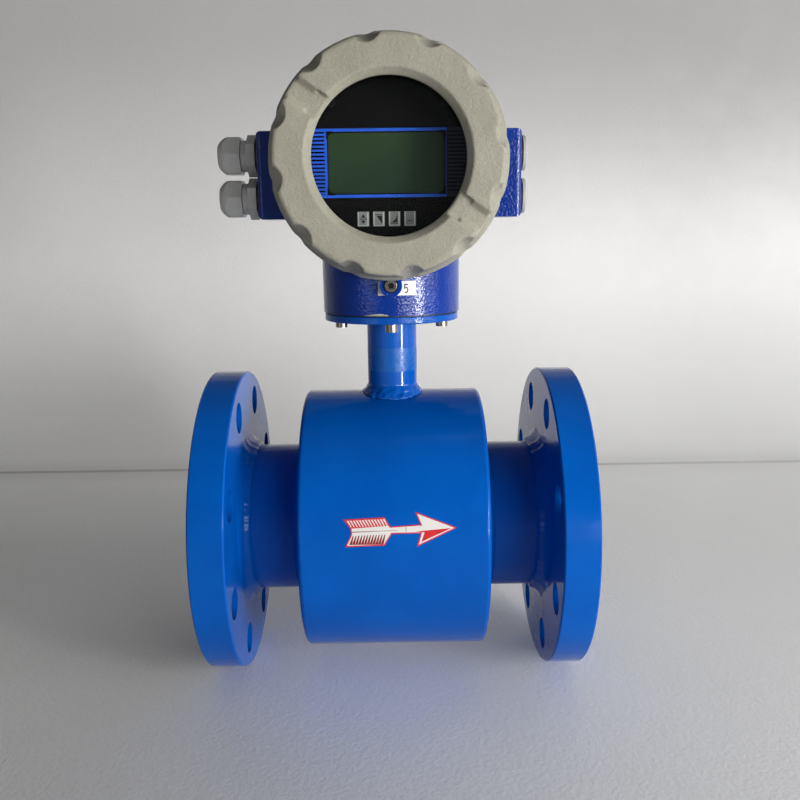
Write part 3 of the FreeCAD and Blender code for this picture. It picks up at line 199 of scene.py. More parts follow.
class Finish(Nodes):
    """One procedural material on a Principled shader."""

    def __init__(self, name, **sockets):
        self.material = bpy.data.materials.new(name)
        self.material.use_nodes = True
        super().__init__(self.material.node_tree)
        self.shader = self.tree.nodes["Principled BSDF"]
        for socket, value in sockets.items():
            self.shader.inputs[socket.replace("_", " ")].default_value = value
        self.where = self.tree.nodes.new("ShaderNodeTexCoord").outputs["Object"]
        self.last_bump = None

    def link(self, output, socket):
        self.tree.links.new(output, self.shader.inputs[socket])

    def place(self, stretch=(1, 1, 1), shift=(0, 0, 0)):
        return self.node("Mapping", {"Vector": self.where, "Scale": stretch, "Location": shift}).outputs[0]

    def noise(self, size, detail=3.0, rough=0.5, stretch=(1, 1, 1), shift=(0, 0, 0), bend=0.0):
        """Blobs about size metres across, 0 to 1."""
        made = self.node("TexNoise", {"Vector": self.place(stretch, shift), "Scale": 1 / size,
                                      "Detail": detail, "Roughness": rough, "Distortion": bend})
        return made.outputs["Fac"]

    def cells(self, size, smooth):
        """Rounded cells about size metres across, 0 at their middles."""
        return self.node("TexVoronoi", {"Vector": self.place(), "Scale": 1 / size, "Smoothness": smooth},
                         feature="SMOOTH_F1").outputs["Distance"]

    def mix(self, amount, first, second):
        """A colour between first and second."""
        made = self.node("Mix", data_type="RGBA")
        for name, kind, value in (("Factor", "VALUE", amount), ("A", "RGBA", first),
                                  ("B", "RGBA", second)):
            self.feed(value, next(i for i in made.inputs if i.name == name and i.type == kind))
        return next(o for o in made.outputs if o.type == "RGBA")

    def bump(self, height, depth):
        """Adds relief: height runs 0 to 1 and stands for depth metres."""
        made = self.node("Bump", {"Height": height, "Distance": depth, "Strength": 1.0})
        if self.last_bump:
            self.tree.links.new(self.last_bump, made.inputs["Normal"])
        self.last_bump = made.outputs[0]
        self.link(self.last_bump, "Normal")

    def colour(self, output):
        self.link(output, "Base Color")

    def roughness(self, value, low, high):
        self.link(self.fit(value, 0.3, 0.7, low, high), "Roughness")


# ---------------------------------------------------------------- finishes
# Sizes and depths are in metres. The shifts only keep one noise from repeating another.

def gloss_paint(name, colour, deep, pale, peel=0.00002, size=0.0032, level=0.14):
    """Sprayed enamel: orange peel, thin runs, a little dust."""
    f = Finish(name, Metallic=0.0, Specular_IOR_Level=level)
    tint = f.mix(f.fit(f.noise(0.06, 4, 0.6), 0.3, 0.7), deep, colour)
    speck = f.fit(f.noise(0.0011, 2, 0.5, shift=(3, 1, 2)), 0.74, 0.80)
    dusty = f.sums("MULTIPLY", speck, f.fit(f.noise(0.02, 3, 0.6, shift=(5, 5, 5)), 0.45, 0.7))
    f.colour(f.mix(f.sums("MULTIPLY", dusty, 0.35), tint, pale))
    f.roughness(f.noise(0.03, 4, 0.6, shift=(2, 4, 6)), 0.07, 0.15)
    f.bump(f.noise(0.016, 2, 0.5, shift=(1, 0, 0)), 0.00012)
    f.bump(f.noise(size, 2, 0.45), peel)
    return f.material


def make_housing_paint():
    """Deep blue powder coat with a hammered skin on the casting."""
    f = Finish("housing_paint", Metallic=0.0, Specular_IOR_Level=0.36)
    f.colour(f.mix(f.fit(f.noise(0.03, 4, 0.6), 0.3, 0.7), linear(1, 42, 126), linear(2, 52, 144)))
    f.roughness(f.noise(0.01, 3, 0.6, shift=(2, 4, 6)), 0.05, 0.09)
    f.bump(f.noise(0.012, 2, 0.5, shift=(4, 0, 0)), 0.00010)
    f.bump(f.noise(0.0018, 2, 0.5, shift=(4, 3, 0), bend=0.4), 0.00017)
    f.bump(f.cells(0.0016, 0.6), 0.00014)
    return f.material


def make_cover_paint():
    """Textured grey coat over a sand casting."""
    f = Finish("cover_paint", Metallic=0.0, Specular_IOR_Level=0.32)
    tint = f.mix(f.fit(f.noise(0.04, 4, 0.6), 0.3, 0.7), linear(152, 149, 134), linear(163, 160, 145))
    grain = f.noise(0.0011, 3, 0.6)
    f.colour(f.mix(f.fit(grain, 0.35, 0.62), f.mix(0.18, tint, linear(96, 94, 84)), tint))
    f.roughness(f.noise(0.004, 3, 0.6, shift=(2, 4, 6)), 0.42, 0.6)
    f.bump(f.noise(0.012, 3, 0.5, shift=(4, 0, 0)), 0.0004)
    f.bump(f.noise(0.0026, 3, 0.5, bend=0.8), 0.00042)
    f.bump(grain, 0.00006)
    return f.material


def make_glass():
    """The pane, with faint smears. Its IOR is far below real glass (1.5), only to keep reflections off
    the display, as in the picture."""
    f = Finish("window_glass", Transmission_Weight=1.0, IOR=1.18, Specular_IOR_Level=0.05)
    f.colour(f.mix(f.fit(f.noise(0.02, 3, 0.6), 0.35, 0.7), linear(238, 243, 242), linear(247, 250, 249)))
    smear = f.noise(0.008, 4, 0.65, stretch=(1, 1, 2.5))
    f.link(f.fit(smear, 0.45, 0.8, 0.0, 0.008), "Roughness")
    f.bump(f.noise(0.03, 1, 0.4), 0.00001)
    return f.material


def plastic(name, colour, rough=(0.35, 0.5), grain=0.0006, depth=0.00001, spread=0.85, level=0.5):
    """Moulded plastic, rubber or print with a fine skin. spread is how dark its cloudy places are."""
    f = Finish(name, Specular_IOR_Level=level)
    f.colour(f.mix(f.fit(f.noise(0.006, 4, 0.65), 0.3, 0.7), scaled(colour, spread), colour))
    f.roughness(f.noise(0.004, 3, 0.6, shift=(2, 4, 6)), *rough)
    f.bump(f.noise(grain, 2, 0.5), depth)
    f.bump(f.noise(0.008, 2, 0.5, shift=(1, 7, 0)), depth * 3)
    return f.material


def metal(name, colour, rough):
    """Machined or rolled metal with a fine grain and darker clouds."""
    f = Finish(name, Metallic=1.0)
    grain = f.noise(0.0006, 3, 0.6)
    cloud = f.fit(f.noise(0.004, 4, 0.65, shift=(9, 0, 0)), 0.35, 0.7)
    f.colour(f.mix(cloud, colour, scaled(colour, 0.72)))
    f.roughness(grain, *rough)
    f.bump(grain, 0.000006)
    return f.material


def make_winding():
    """Copper wire, turn by turn."""
    f = Finish("winding", Metallic=0.0, Specular_IOR_Level=0.6, Roughness=0.3)
    waves = f.node("TexWave", {"Vector": f.where, "Scale": 320.0, "Distortion": 0.4, "Detail": 1.0},
                   bands_direction="Z").outputs["Fac"]
    f.colour(f.mix(waves, linear(92, 38, 14), linear(176, 92, 44)))
    f.bump(waves, 0.0003)
    return f.material


def make_lcd():
    """Unlit grey-green liquid crystal with a faint cloud."""
    f = Finish("lcd", Specular_IOR_Level=0.04)
    cloud = f.noise(0.06, 1, 0.4, shift=(0.02, 0, 0.01))
    f.colour(f.mix(f.fit(cloud, 0.3, 0.7), linear(27, 41, 31), linear(36, 52, 32)))
    f.roughness(f.noise(0.01, 3, 0.6), 0.4, 0.5)
    f.bump(f.noise(0.002, 1, 0.4), 0.000002)
    return f.material


def make_board():
    """A circuit board's green lacquer with its tracks."""
    f = Finish("board_green", Specular_IOR_Level=0.5)
    bricks = f.node("TexBrick", {
        "Vector": f.place((1, 0, 1)), "Scale": 1.0, "Brick Width": 0.011, "Row Height": 0.0042,
        "Mortar Size": 0.0007, "Color1": linear(20, 84, 48), "Color2": linear(26, 96, 56),
        "Mortar": linear(58, 132, 80)}).outputs
    f.colour(f.mix(f.fit(f.noise(0.01, 3, 0.6), 0.4, 0.7), bricks["Color"], linear(22, 88, 50)))
    f.roughness(f.noise(0.005, 3, 0.6), 0.3, 0.45)
    f.bump(bricks["Fac"], 0.00003)
    return f.material


# name: colour, deeper colour, and where they differ peel, peel size and specular level
ENAMELS = {
    "sensor_paint": ((2, 90, 184), (2, 82, 172)),
    "plate_paint": ((2, 84, 178), (2, 76, 166), 0.00014, 0.0020, 0.3),
    "neck_paint": ((2, 86, 180), (2, 78, 168), 0.00003, 0.0032, 0.4),
}
DUST = (150, 180, 214)
# name: colour, then what differs from plastic()'s defaults, in its order
PLASTICS = {
    "liner_rubber": ((26, 26, 27), (0.5, 0.68), 0.0009, 0.00004),
    "gasket_rubber": ((20, 20, 21), (0.45, 0.62), 0.0007, 0.00002),
    "insulator": ((226, 224, 216), (0.3, 0.42)),
    "panel_black": ((4, 3.5, 4), (0.5, 0.6), 0.002, 0.000002, 0.8, 0.04),
    "module_black": ((18, 18, 19), (0.4, 0.55)),
    "switch_black": ((22, 22, 24), (0.4, 0.55)),
    "key_grey": ((118, 117, 114), (0.35, 0.5), 0.001, 0.000005, 0.85, 0.2),
    # painted highlight for the keys' bevelled edges, a lighter copy of key_grey
    "key_edge": ((172, 170, 166), (0.35, 0.5), 0.001, 0.000005, 0.9, 0.2),
    "terminal_plastic": ((34, 92, 60),),
    "entry_plastic": ((190, 190, 188), (0.26, 0.38), 0.0005, 0.000008, 0.95),
    "sticker_white": ((226, 224, 220), (0.3, 0.42), 0.0009, 0.000006, 0.96),
    "sticker_red": ((212, 30, 42), (0.3, 0.42), 0.0009, 0.000006, 0.85),
    "sticker_dark": ((158, 18, 30), (0.3, 0.42), 0.0009, 0.000006, 0.8),
    "sticker_faint": ((146, 96, 92), (0.3, 0.42), 0.0009, 0.000006, 0.8),
    "film": ((14, 92, 176), (0.2, 0.42), 0.0014, 0.00003, 0.9, 0.4),
    "bare_casting": ((176, 172, 164), (0.4, 0.6), 0.0007, 0.00004, 0.8),
    "ink_black": ((12, 12, 14), (0.4, 0.55), 0.0006, 0.000004, 0.85, 0.15),
    "print_blue": ((30, 76, 172), (0.4, 0.55), 0.0006, 0.000002, 0.85, 0.1),
    # darker copies of print_blue: painted shade on the print's right side
    "print_shaded_grey": ((30, 34, 52), (0.4, 0.55), 0.0006, 0.000002, 0.8, 0.1),
    "print_shaded_blue": ((22, 42, 100), (0.4, 0.55), 0.0006, 0.000002, 0.8, 0.1),
    # painted shade, for the dark sheets in the lock screw's socket and gap
    "recess_shade": ((20, 15, 12), (0.5, 0.7), 0.0004, 0.00001, 0.7, 0.2),
}
# name: colour, and its roughness from and to
METALS = {
    "screw_black": ((38, 38, 40), (0.35, 0.5)),
    "magnet_steel": ((120, 120, 122), (0.35, 0.5)),
    "electrode_steel": ((196, 194, 190), (0.16, 0.26)),
    "fastener_steel": ((158, 152, 144), (0.16, 0.3)),
    "spacer_brass": ((186, 150, 84), (0.22, 0.34)),
}


def make_finishes():
    """All materials by name: one for each slot of the record, and those of the thin pieces."""
    made = {"housing_paint": make_housing_paint(), "cover_paint": make_cover_paint(),
            "window_glass": make_glass(), "winding": make_winding(), "lcd": make_lcd(),
            "board_green": make_board()}
    for name, (colour, deep, *rest) in ENAMELS.items():
        made[name] = gloss_paint(name, linear(*colour), linear(*deep), linear(*DUST), *rest)
    for name, (colour, *rest) in PLASTICS.items():
        made[name] = plastic(name, linear(*colour), *rest)
    for name, (colour, rough) in METALS.items():
        made[name] = metal(name, linear(*colour), rough)
    return made


# ---------------------------------------------------------------- thin pieces laid on a surface

class Surface:
    """Maps (u, v, height) in metres onto a surface of the object. step is how finely u and v are cut."""

    def __init__(self, put, step=(1, 1)):
        self.put, self.step = put, step


def on_case(u, v, height):
    """u runs along the flow, v round the case from the front, upward."""
    angle = v / CASE_RADIUS
    r = CASE_RADIUS + height
    return Vector((u, -r * math.cos(angle), r * math.sin(angle)))


def on_collar(u, v, height):
    """u runs round the collar, which widens as it rises, v up it."""
    angle = u / COLLAR_RADIUS
    r = COLLAR_RADIUS + COLLAR_DRAFT * (v - PLATE_TOP) + height
    return Vector((r * math.sin(angle), -r * math.cos(angle), v))


def on_neck(u, v, height):
    """u runs round the neck, v up it."""
    angle = u / NECK_RADIUS
    r = NECK_RADIUS + height
    return Vector((r * math.sin(angle), -r * math.cos(angle), v))


def on_panel(u, v, height):
    return Vector((u, PANEL_FRONT - height, v))


def facing(x, front, z):
    """A flat surface that faces the front, with its middle at x and z."""
    return Surface(lambda u, v, height: Vector((x + u, front - height, z + v)))


CASE = Surface(on_case, (0.02, 0.0015))
COLLAR = Surface(on_collar, (0.0015, 0.02))
NECK = Surface(on_neck, (0.001, 0.02))
PANEL = Surface(on_panel)


def finished(name, bm, finish, body, smooth=False):
    """The object of a finished bmesh, with its material, body and slot."""
    mesh = bpy.data.meshes.new(name)
    bm.to_mesh(mesh)
    bm.free()
    for polygon in mesh.polygons:
        polygon.use_smooth = smooth
    mesh.materials.append(FINISHES[finish])
    ob = add(name, mesh)
    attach(ob, body)
    return ob


def sheet(name, surface, outlines, low, high, finish, body="meter"):
    """A thin piece with these outlines, from height low to high above a surface."""
    bm = bmesh.new()
    for outline in outlines:
        face = bm.faces.new([bm.verts.new((u, v, 0)) for u, v in outline])
        if face.normal.length == 0:
            face.normal_update()
        if face.normal.z < 0:
            face.normal_flip()
    bmesh.ops.triangulate(bm, faces=bm.faces[:])
    for axis, step in enumerate(surface.step):
        values = [v.co[axis] for v in bm.verts]
        lowest, highest = min(values), max(values)
        for i in range(1, int((highest - lowest) / step) + 1):
            point, normal = Vector((0, 0, 0)), Vector((0, 0, 0))
            point[axis], normal[axis] = lowest + i * step, 1
            bmesh.ops.bisect_plane(bm, geom=bm.verts[:] + bm.edges[:] + bm.faces[:], plane_co=point,
                                   plane_no=normal)
    bmesh.ops.recalc_face_normals(bm, faces=bm.faces[:])
    rim = [e for e in bm.edges if e.is_boundary]
    made = bmesh.ops.extrude_edge_only(bm, edges=rim)
    low_verts = {v for v in made["geom"] if isinstance(v, bmesh.types.BMVert)}
    for v in bm.verts:
        v.co = surface.put(v.co.x, v.co.y, low if v in low_verts else high)
    bmesh.ops.recalc_face_normals(bm, faces=bm.faces[:])
    return finished(name, bm, finish, body)


def mm(points):
    return [(u * MM, v * MM) for u, v in points]


def bar(u0, u1, v0, v1):
    return [(u0, v0), (u1, v0), (u1, v1), (u0, v1)]


def inset(points, amount):
    """The same outline, moved inward by amount. It may run either way round."""
    area = sum(a[0] * b[1] - b[0] * a[1] for a, b in zip(points, points[1:] + points[:1]))
    side = 1 if area > 0 else -1
    sharpest = 0.35  # a corner sharper than this moves no further
    result = []
    count = len(points)
    for i in range(count):
        before, here, after = Vector(points[i - 1]), Vector(points[i]), Vector(points[(i + 1) % count])
        d1, d2 = (here - before).normalized(), (after - here).normalized()
        n1, n2 = Vector((-d1.y, d1.x)) * side, Vector((-d2.y, d2.x)) * side
        bisector = (n1 + n2).normalized()
        reach = amount / max(sharpest, bisector.dot(n1))
        result.append(tuple(here + bisector * reach))
    return result


# The flow arrow's outlines, in millimetres
ARROW = [(-33.2, 27.0), (-6.1, 28.1), (-2.5, 22.0), (17.2, 23.1), (13.7, 31.4), (41.0, 20.7), (14.6, 8.5),
         (17.2, 17.3), (-1.6, 17.2), (-6.5, 9.6), (-32.2, 8.9), (-28.2, 17.2), (-28.6, 20.8)]
ARROW_BORDER = 0.75
ARROW_HEAD = [(14.0, 18.6), (37.4, 20.5), (17.7, 11.8), (19.8, 17.9)]
ARROW_FEATHER = [(-31.6, 26.3), (-6.6, 27.3), (-3.7, 22.5), (-28.0, 21.0)]
ARROW_LINES = ([(-27.6, 19.0), (2.0, 19.6), (2.0, 19.35), (-27.6, 18.4)],
               [(7.55, 21.9), (7.85, 21.9), (7.85, 18.4), (7.55, 18.4)])
SLITS, SLIT_START, SLIT_PITCH = 13, -31.0, 1.96
BARBS, BARB_START, BARB_PITCH = 12, -27.0, 1.88


def make_flow_arrow():
    """The direction arrow stuck on the front of the case."""
    slits, shades, stripes = [], [], []
    for i in range(SLITS):
        u, top, foot = SLIT_START + i * SLIT_PITCH, i * 0.07, i * 0.05
        slits.append(mm([(u, 26.05 + top), (u + 1.15, 26.1 + top), (u + 3.3, 21.9 + foot),
                         (u + 2.7, 21.85 + foot)]))
    for i in range(BARBS):
        u, rise = BARB_START + i * BARB_PITCH, i * 0.06
        shades.append(mm([(u, 16.3 + rise), (u + 0.55, 16.3 + rise), (u - 0.7, 10.4), (u - 2.6, 10.3)]))
        stripes.append(mm([(u + 0.1, 16.1 + rise), (u + 0.3, 16.1 + rise), (u - 1.6, 10.9),
                           (u - 1.85, 10.9)]))
    for name, outlines, low, high, finish in (
            ("arrow_edge", [mm(ARROW)], 0.00002, 0.00012, "sticker_red"),
            ("arrow_body", [mm(inset(ARROW, ARROW_BORDER))], 0.00010, 0.00015, "sticker_white"),
            ("arrow_head", [mm(ARROW_HEAD)], 0.00014, 0.00019, "sticker_red"),
            ("arrow_feather", [mm(ARROW_FEATHER)], 0.00014, 0.00018, "sticker_red"),
            ("arrow_slits", slits, 0.00017, 0.00021, "sticker_white"),
            ("arrow_shades", shades, 0.00014, 0.00018, "sticker_dark"),
            ("arrow_stripes", stripes, 0.00017, 0.00021, "ink_black"),
            ("arrow_lines", [mm(line) for line in ARROW_LINES], 0.00014, 0.00017, "sticker_faint")):
        sheet(name, CASE, outlines, low, high, finish)


LABEL_TO_SCREW = 4.25 * MM  # the label's datum line above the lock screw's lowest point
FIVE = [(3.0, 6.2), (0.4, 6.2), (0.2, 3.1), (0.9, 2.9), (1.5, 3.5), (2.2, 3.3), (2.6, 2.4), (2.3, 1.2),
        (1.5, 0.8), (0.8, 1.1), (0.4, 0.6), (1.5, 0.0), (2.8, 0.7), (3.3, 2.2), (2.9, 3.7), (2.0, 4.3),
        (1.0, 3.9), (1.1, 5.4), (3.0, 5.4)]


def make_collar_label():
    """A small plain label under the lock screw, with a number."""
    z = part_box("lock_screw")[0].z + LABEL_TO_SCREW
    sheet("collar_label", COLLAR, [bar(-8.7 * MM, 16.9 * MM, z - 6.8 * MM, z + 2.8 * MM)], 0.00002, 0.00014,
          "sticker_white")
    sheet("collar_number", COLLAR, [[((8.6 + u * 0.95) * MM, z + (v - 5.4) * MM) for u, v in FIVE]],
          0.00013, 0.00017, "ink_black")


def make_neck_film():
    """A bare strip of clear film, stuck round the neck."""
    sheet("neck_film", NECK, [bar(-24 * MM, 27 * MM, 112 * MM, 129 * MM)], 0.00002, 0.00010, "film")


def make_paint_chip():
    """Bare metal where the paint has come off at the collar's foot."""
    z = PLATE_TOP + 1.05 * MM
    edge = [(-19.5, 0.0), (-15.5, 0.55), (-12.0, 1.15), (-8.0, 1.5), (-5.6, 1.35), (-4.6, 1.0), (-3.2, 0.9),
            (-2.0, 0.35), (-1.8, 0.0)]
    sheet("paint_chip", COLLAR, [[(u * MM, z + v * MM) for u, v in edge]], 0.00001, 0.00007, "bare_casting")


def make_lock_recess_shade():
    """Painted shade: dark sheets laid in the lock screw's socket and in the gap round its head, where shade
    falls.
    """
    low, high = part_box("lock_screw")
    x, z = (low.x + high.x) / 2, (low.z + high.z) / 2
    socket_depth, seat_depth = 1.2 * MM, 3.5 * MM
    socket_radius, gap_inside, gap_outside, steps = 1.95, 4.35, 5.1, 48
    hexagon = [(socket_radius * math.cos(math.pi / 3 * k), socket_radius * math.sin(math.pi / 3 * k))
               for k in range(6)]
    sheet("lock_socket_shade", facing(x, low.y + socket_depth, z), [mm(hexagon)], 0.0, 0.0001, "recess_shade")
    ring = []
    for k in range(steps):
        a, b = 2 * math.pi * k / steps, 2 * math.pi * (k + 1) / steps
        ring.append(mm([(r * math.cos(t), r * math.sin(t))
                        for r, t in ((gap_inside, a), (gap_outside, a), (gap_outside, b), (gap_inside, b))]))
    sheet("lock_gap_shade", facing(x, low.y + seat_depth, z), ring, 0.0, 0.0001, "recess_shade")


# ---------------------------------------------------------------- print on the display and the keys

PRINT_REACH = 55.2 * MM  # how far the print runs out from the middle of the panel
PRINT_BARS = 16
CORNER_RADIUS = 3.8 * MM
KEYS = (1, 2, 3, 4)


def print_edge(z):
    """Half the width of the round print at a height."""
    return math.sqrt(max(0.0, PRINT_REACH ** 2 - (z - HEAD_Z) ** 2))


def window_corners():
    """Pieces that round off the display window's four corners."""
    (left, low), (right, high) = ((corner.x, corner.z) for corner in WINDOW)
    out, r = 1.2 * MM, CORNER_RADIUS
    corners = []
    for x, z, sx, sz in ((left, low, 1, 1), (right, low, -1, 1), (left, high, 1, -1), (right, high, -1, -1)):
        arc = [(x + sx * r * (1 - math.cos(a)), z + sz * r * (1 - math.sin(a)))
               for a in [math.pi / 2 * k / 8 for k in range(9)]]
        corners.append([(x - sx * out, z - sz * out), (x - sx * out, z + sz * r)] + arc
                       + [(x + sx * r, z - sz * out)])
    return corners


def key_surrounds():
    """The panel's raised rims round the four keys."""
    gap, wide = 0.06 * MM, 0.85 * MM
    rims = []
    for number in KEYS:
        a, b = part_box("key_%d" % number)
        rims += [bar(a.x - gap - wide, a.x - gap, a.z - gap - wide, b.z + gap + wide),
                 bar(b.x + gap, b.x + gap + wide, a.z - gap - wide, b.z + gap + wide),
                 bar(a.x - gap, b.x + gap, a.z - gap - wide, a.z - gap),
                 bar(a.x - gap, b.x + gap, b.z + gap, b.z + gap + wide)]
    return rims


def make_display_print():
    """Blue print round the display window. On the right it is drawn in darker copies of the blue, as painted
    shade.
    """
    left, right = WINDOW[0].x, WINDOW[1].x
    low, high = WINDOW[0].z, WINDOW[1].z
    near, far = 0.9 * MM, 2.9 * MM  # the frame lines' two edges, from the window
    bar_left, bar_right = left - 2.4 * MM, right + 2.2 * MM
    # the print's parts right of the window are drawn darker, as painted shade
    lines, shaded_bars = [], []
    for z0, z1 in ((high + near, high + far), (low - far, low - near)):
        lines.append([(-print_edge(z0), z0), (right + 2.0 * MM, z0), (right + 2.0 * MM, z1),
                      (-print_edge(z1), z1)])
        shaded_bars.append([(bar_right, z0), (print_edge(z0), z0), (print_edge(z1), z1), (bar_right, z1)])
    lines.append(bar(bar_left, left - 0.7 * MM, low - near, high + near))
    shaded_band = [bar(right + near, right + 2.1 * MM, low - near, high + near)]
    pitch = (high - low + 1.4 * MM) / PRINT_BARS
    for i in range(PRINT_BARS):
        z0 = low - 0.5 * MM + i * pitch
        z1 = z0 + 1.35 * MM
        lines.append([(-print_edge(z0), z0), (bar_left, z0), (bar_left, z1), (-print_edge(z1), z1)])
        shaded_bars.append([(bar_right, z0), (print_edge(z0), z0), (print_edge(z1), z1), (bar_right, z1)])
    for name, outlines, high_side, finish in (
            ("display_corners", window_corners(), 0.00008, "panel_black"),
            ("key_surrounds", key_surrounds(), 0.00008, "panel_black"),
            ("display_print", lines, 0.00006, "print_blue"),
            ("display_print_shaded_edge", shaded_band, 0.00006, "print_shaded_blue"),
            ("display_print_shaded_right", shaded_bars, 0.00006, "print_shaded_grey")):
        sheet(name, PANEL, outlines, 0.0, high_side, finish)


KEY_SIGNS = {  # in millimetres from the key's middle
    1: [[(-1.5, 0.9), (1.5, 0.9), (0, 3.3)], [(-1.5, -0.9), (0, -3.3), (1.5, -0.9)],
        bar(-2.4, 2.4, -0.25, 0.25)],
    2: [bar(-2.6, 2.4, 2.5, 3.0), [(-1.6, 2.0), (2.2, 2.0), (2.2, -3.2)]],
    3: [bar(-2.6, 2.4, -3.1, -2.6), [(-1.8, -2.2), (2.0, -2.2), (2.0, 3.2), (1.2, 0.6), (0.4, -0.6)]],
    4: [bar(-1.6, 1.6, -1.7, -1.25)],
}


def make_key_marks():
    """Painted highlights along the keys' left, right and lower edges, and plain black signs on the four
    keys.
    """
    for number in KEYS:
        key = "key_%d" % number
        low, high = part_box(key)
        front = facing((low.x + high.x) / 2, low.y, (low.z + high.z) / 2)
        w, h = (high.x - low.x) / 2 / MM, (high.z - low.z) / 2 / MM
        # painted highlights where the keys' bevels catch the light
        edges = (bar(-w + 0.35, -w + 1.0, -h + 0.4, h - 0.4), bar(w - 1.2, w - 0.35, -h + 0.4, h - 0.4),
                 bar(-w + 1.0, w - 1.2, -h + 0.4, -h + 0.8))
        sheet("key_edge_%d" % number, front, [mm(b) for b in edges], 0.0, 0.00004, "key_edge",
              key)
        sheet("key_mark_%d" % number, front, [mm(s) for s in KEY_SIGNS[number]], 0.0, 0.00005, "ink_black",
              key)


# ---------------------------------------------------------------- weld beads

# (along, above the tube) points in millimetres
FLANGE_FILLET = [(-0.4, 11.0), (0.03, 9.8), (0.35, 8.2), (0.95, 6.6), (1.8, 5.2), (2.9, 4.1), (4.1, 3.3),
                 (5.3, 2.85), (6.3, 2.6), (7.2, 2.1), (7.9, 1.3), (8.3, 0.5), (8.5, -0.4)]
CASE_FILLET = [(-0.4, 3.2), (0.15, 3.0), (0.7, 2.7), (1.3, 2.1), (2.0, 1.3), (2.7, 0.6), (3.0, 0.15),
               (3.3, -0.5)]
FILLET_STEPS = 320
CAD_BEAD = 6 * MM  # how far the flange node's own plain bead reaches past its face


def make_fillet(name, x, side, profile, rough, seed):
    """A lumpy ring of weld and paint round the tube. rough is the lumps' height in millimetres."""
    offset = Vector((seed * 3.7, seed * 1.3, seed * 7.1))
    bm = bmesh.new()
    rings = []
    for i in range(FILLET_STEPS):
        a = 2 * math.pi * i / FILLET_STEPS
        radial = Vector((0, math.cos(a), math.sin(a)))
        arc = radial * PIPE_RADIUS
        ring = []
        for j, (along, above) in enumerate(profile):
            body = 0.0 if j in (0, len(profile) - 1) else 1.0
            lump = noise.noise(arc / 0.007 + offset) * 0.6 + noise.noise(arc / 0.0026 + offset) * 0.4
            ripple = 0.25 * math.sin(i * 1.9 + 2.0 * noise.noise(arc / 0.01 + offset))
            grow = body * rough * (lump + ripple * 0.5)
            aside = Vector((x + side * (along + 0.6 * grow) * MM, 0, 0))
            ring.append(bm.verts.new(arc + radial * (above + grow) * MM + aside))
        rings.append(ring)
    for i in range(FILLET_STEPS):
        a, b = rings[i], rings[(i + 1) % FILLET_STEPS]
        for j in range(len(profile) - 1):
            bm.faces.new((a[j], a[j + 1], b[j + 1], b[j]))
    bmesh.ops.recalc_face_normals(bm, faces=bm.faces[:])
    finished(name, bm, "sensor_paint", "meter", smooth=True)


def make_welds():
    """Fillet welds where the tube meets the flanges and the case ends."""
    make_fillet("flange_weld_inlet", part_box("inlet_flange")[1].x - CAD_BEAD, 1, FLANGE_FILLET, 0.8, 1)
    make_fillet("flange_weld_outlet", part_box("outlet_flange")[0].x + CAD_BEAD, -1, FLANGE_FILLET, 0.8, 2)
    make_fillet("case_weld_inlet", -CASE_END, -1, CASE_FILLET, 0.5, 3)
    make_fillet("case_weld_outlet", CASE_END, 1, CASE_FILLET, 0.5, 4)


# ---------------------------------------------------------------- castings

# The wedges at the foot of a wrench slot's walls, in millimetres
WEDGE_ENDS = (58.6, 71.8)  # from the cover's middle
WEDGE_BACK, WEDGE_TOP, WEDGE_FOOT = 9.2, 8.1, 4.5  # from the slot's middle line
WEDGE_SINK = 0.2
SLOT_DEPTH = 3.5


def slope_slots(mesh, turn, front):
    """Fills the foot of the walls of a cover's two wrench slots, so that they slope as a cast slot's do."""
    along = Vector((math.cos(math.radians(turn)), 0, math.sin(math.radians(turn))))
    across = Vector((-along.z, 0, along.x))
    inward = -1 if front > 0 else 1
    top = front + inward * WEDGE_SINK * MM
    floor = front + inward * SLOT_DEPTH * MM
    under = floor + inward * MM
    section = ((WEDGE_BACK, top), (WEDGE_TOP, top), (WEDGE_FOOT, floor), (WEDGE_FOOT, under),
               (WEDGE_BACK, under))
    bm = bmesh.new()
    bm.from_mesh(mesh)
    for way in (1, -1):
        for side in (1, -1):
            ends = [[bm.verts.new(Vector((0, y, HEAD_Z)) + (along * reach * way + across * w * side) * MM)
                     for w, y in section] for reach in WEDGE_ENDS]
            faces = [bm.faces.new(end) for end in ends]
            for i in range(len(section)):
                faces.append(bm.faces.new((ends[0][i - 1], ends[0][i], ends[1][i], ends[1][i - 1])))
            bmesh.ops.recalc_face_normals(bm, faces=faces)
    bm.to_mesh(mesh)
    bm.free()


def swell(mesh, top, depth, size):
    """Moves the skin in and out by depth, in blobs of a size, below the height top."""
    fade = 3 * MM
    normals = [v.normal.copy() for v in mesh.vertices]
    for v, normal in zip(mesh.vertices, normals):
        share = min(1.0, max(0.0, (top - v.co.z) / fade))
        if share:
            blob = noise.noise(v.co / size) + 0.12 * noise.noise(v.co / (size * 0.4)) + 0.15
            v.co += normal * depth * share * blob


def soften(node, name, voxel, rounds, body, lumps=None, slots=None, finish=None):
    """The piece with its edges and hollows run together, as casting, welding and paint leave them.
    lumps gives swell()'s top, depth and size. slots gives slope_slots()'s turn and front."""
    draft = add(name + "_draft", NODES[node].data.copy())
    if slots:
        slope_slots(draft.data, *slots)
    remesh = draft.modifiers.new("remesh", "REMESH")
    remesh.mode = "VOXEL"
    remesh.voxel_size = voxel
    smooth = draft.modifiers.new("smooth", "SMOOTH")
    smooth.factor, smooth.iterations = 0.5, rounds
    bpy.context.view_layer.update()
    mesh = bpy.data.meshes.new_from_object(draft.evaluated_get(bpy.context.evaluated_depsgraph_get()))
    bpy.data.objects.remove(draft)
    mesh.name = name
    if lumps:
        swell(mesh, *lumps)
    mesh.materials.clear()
    mesh.materials.append(FINISHES[finish or SLOT_OF[node]])
    for polygon in mesh.polygons:
        polygon.use_smooth = True
    ob = add(name, mesh)
    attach(ob, body)
    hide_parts(node)


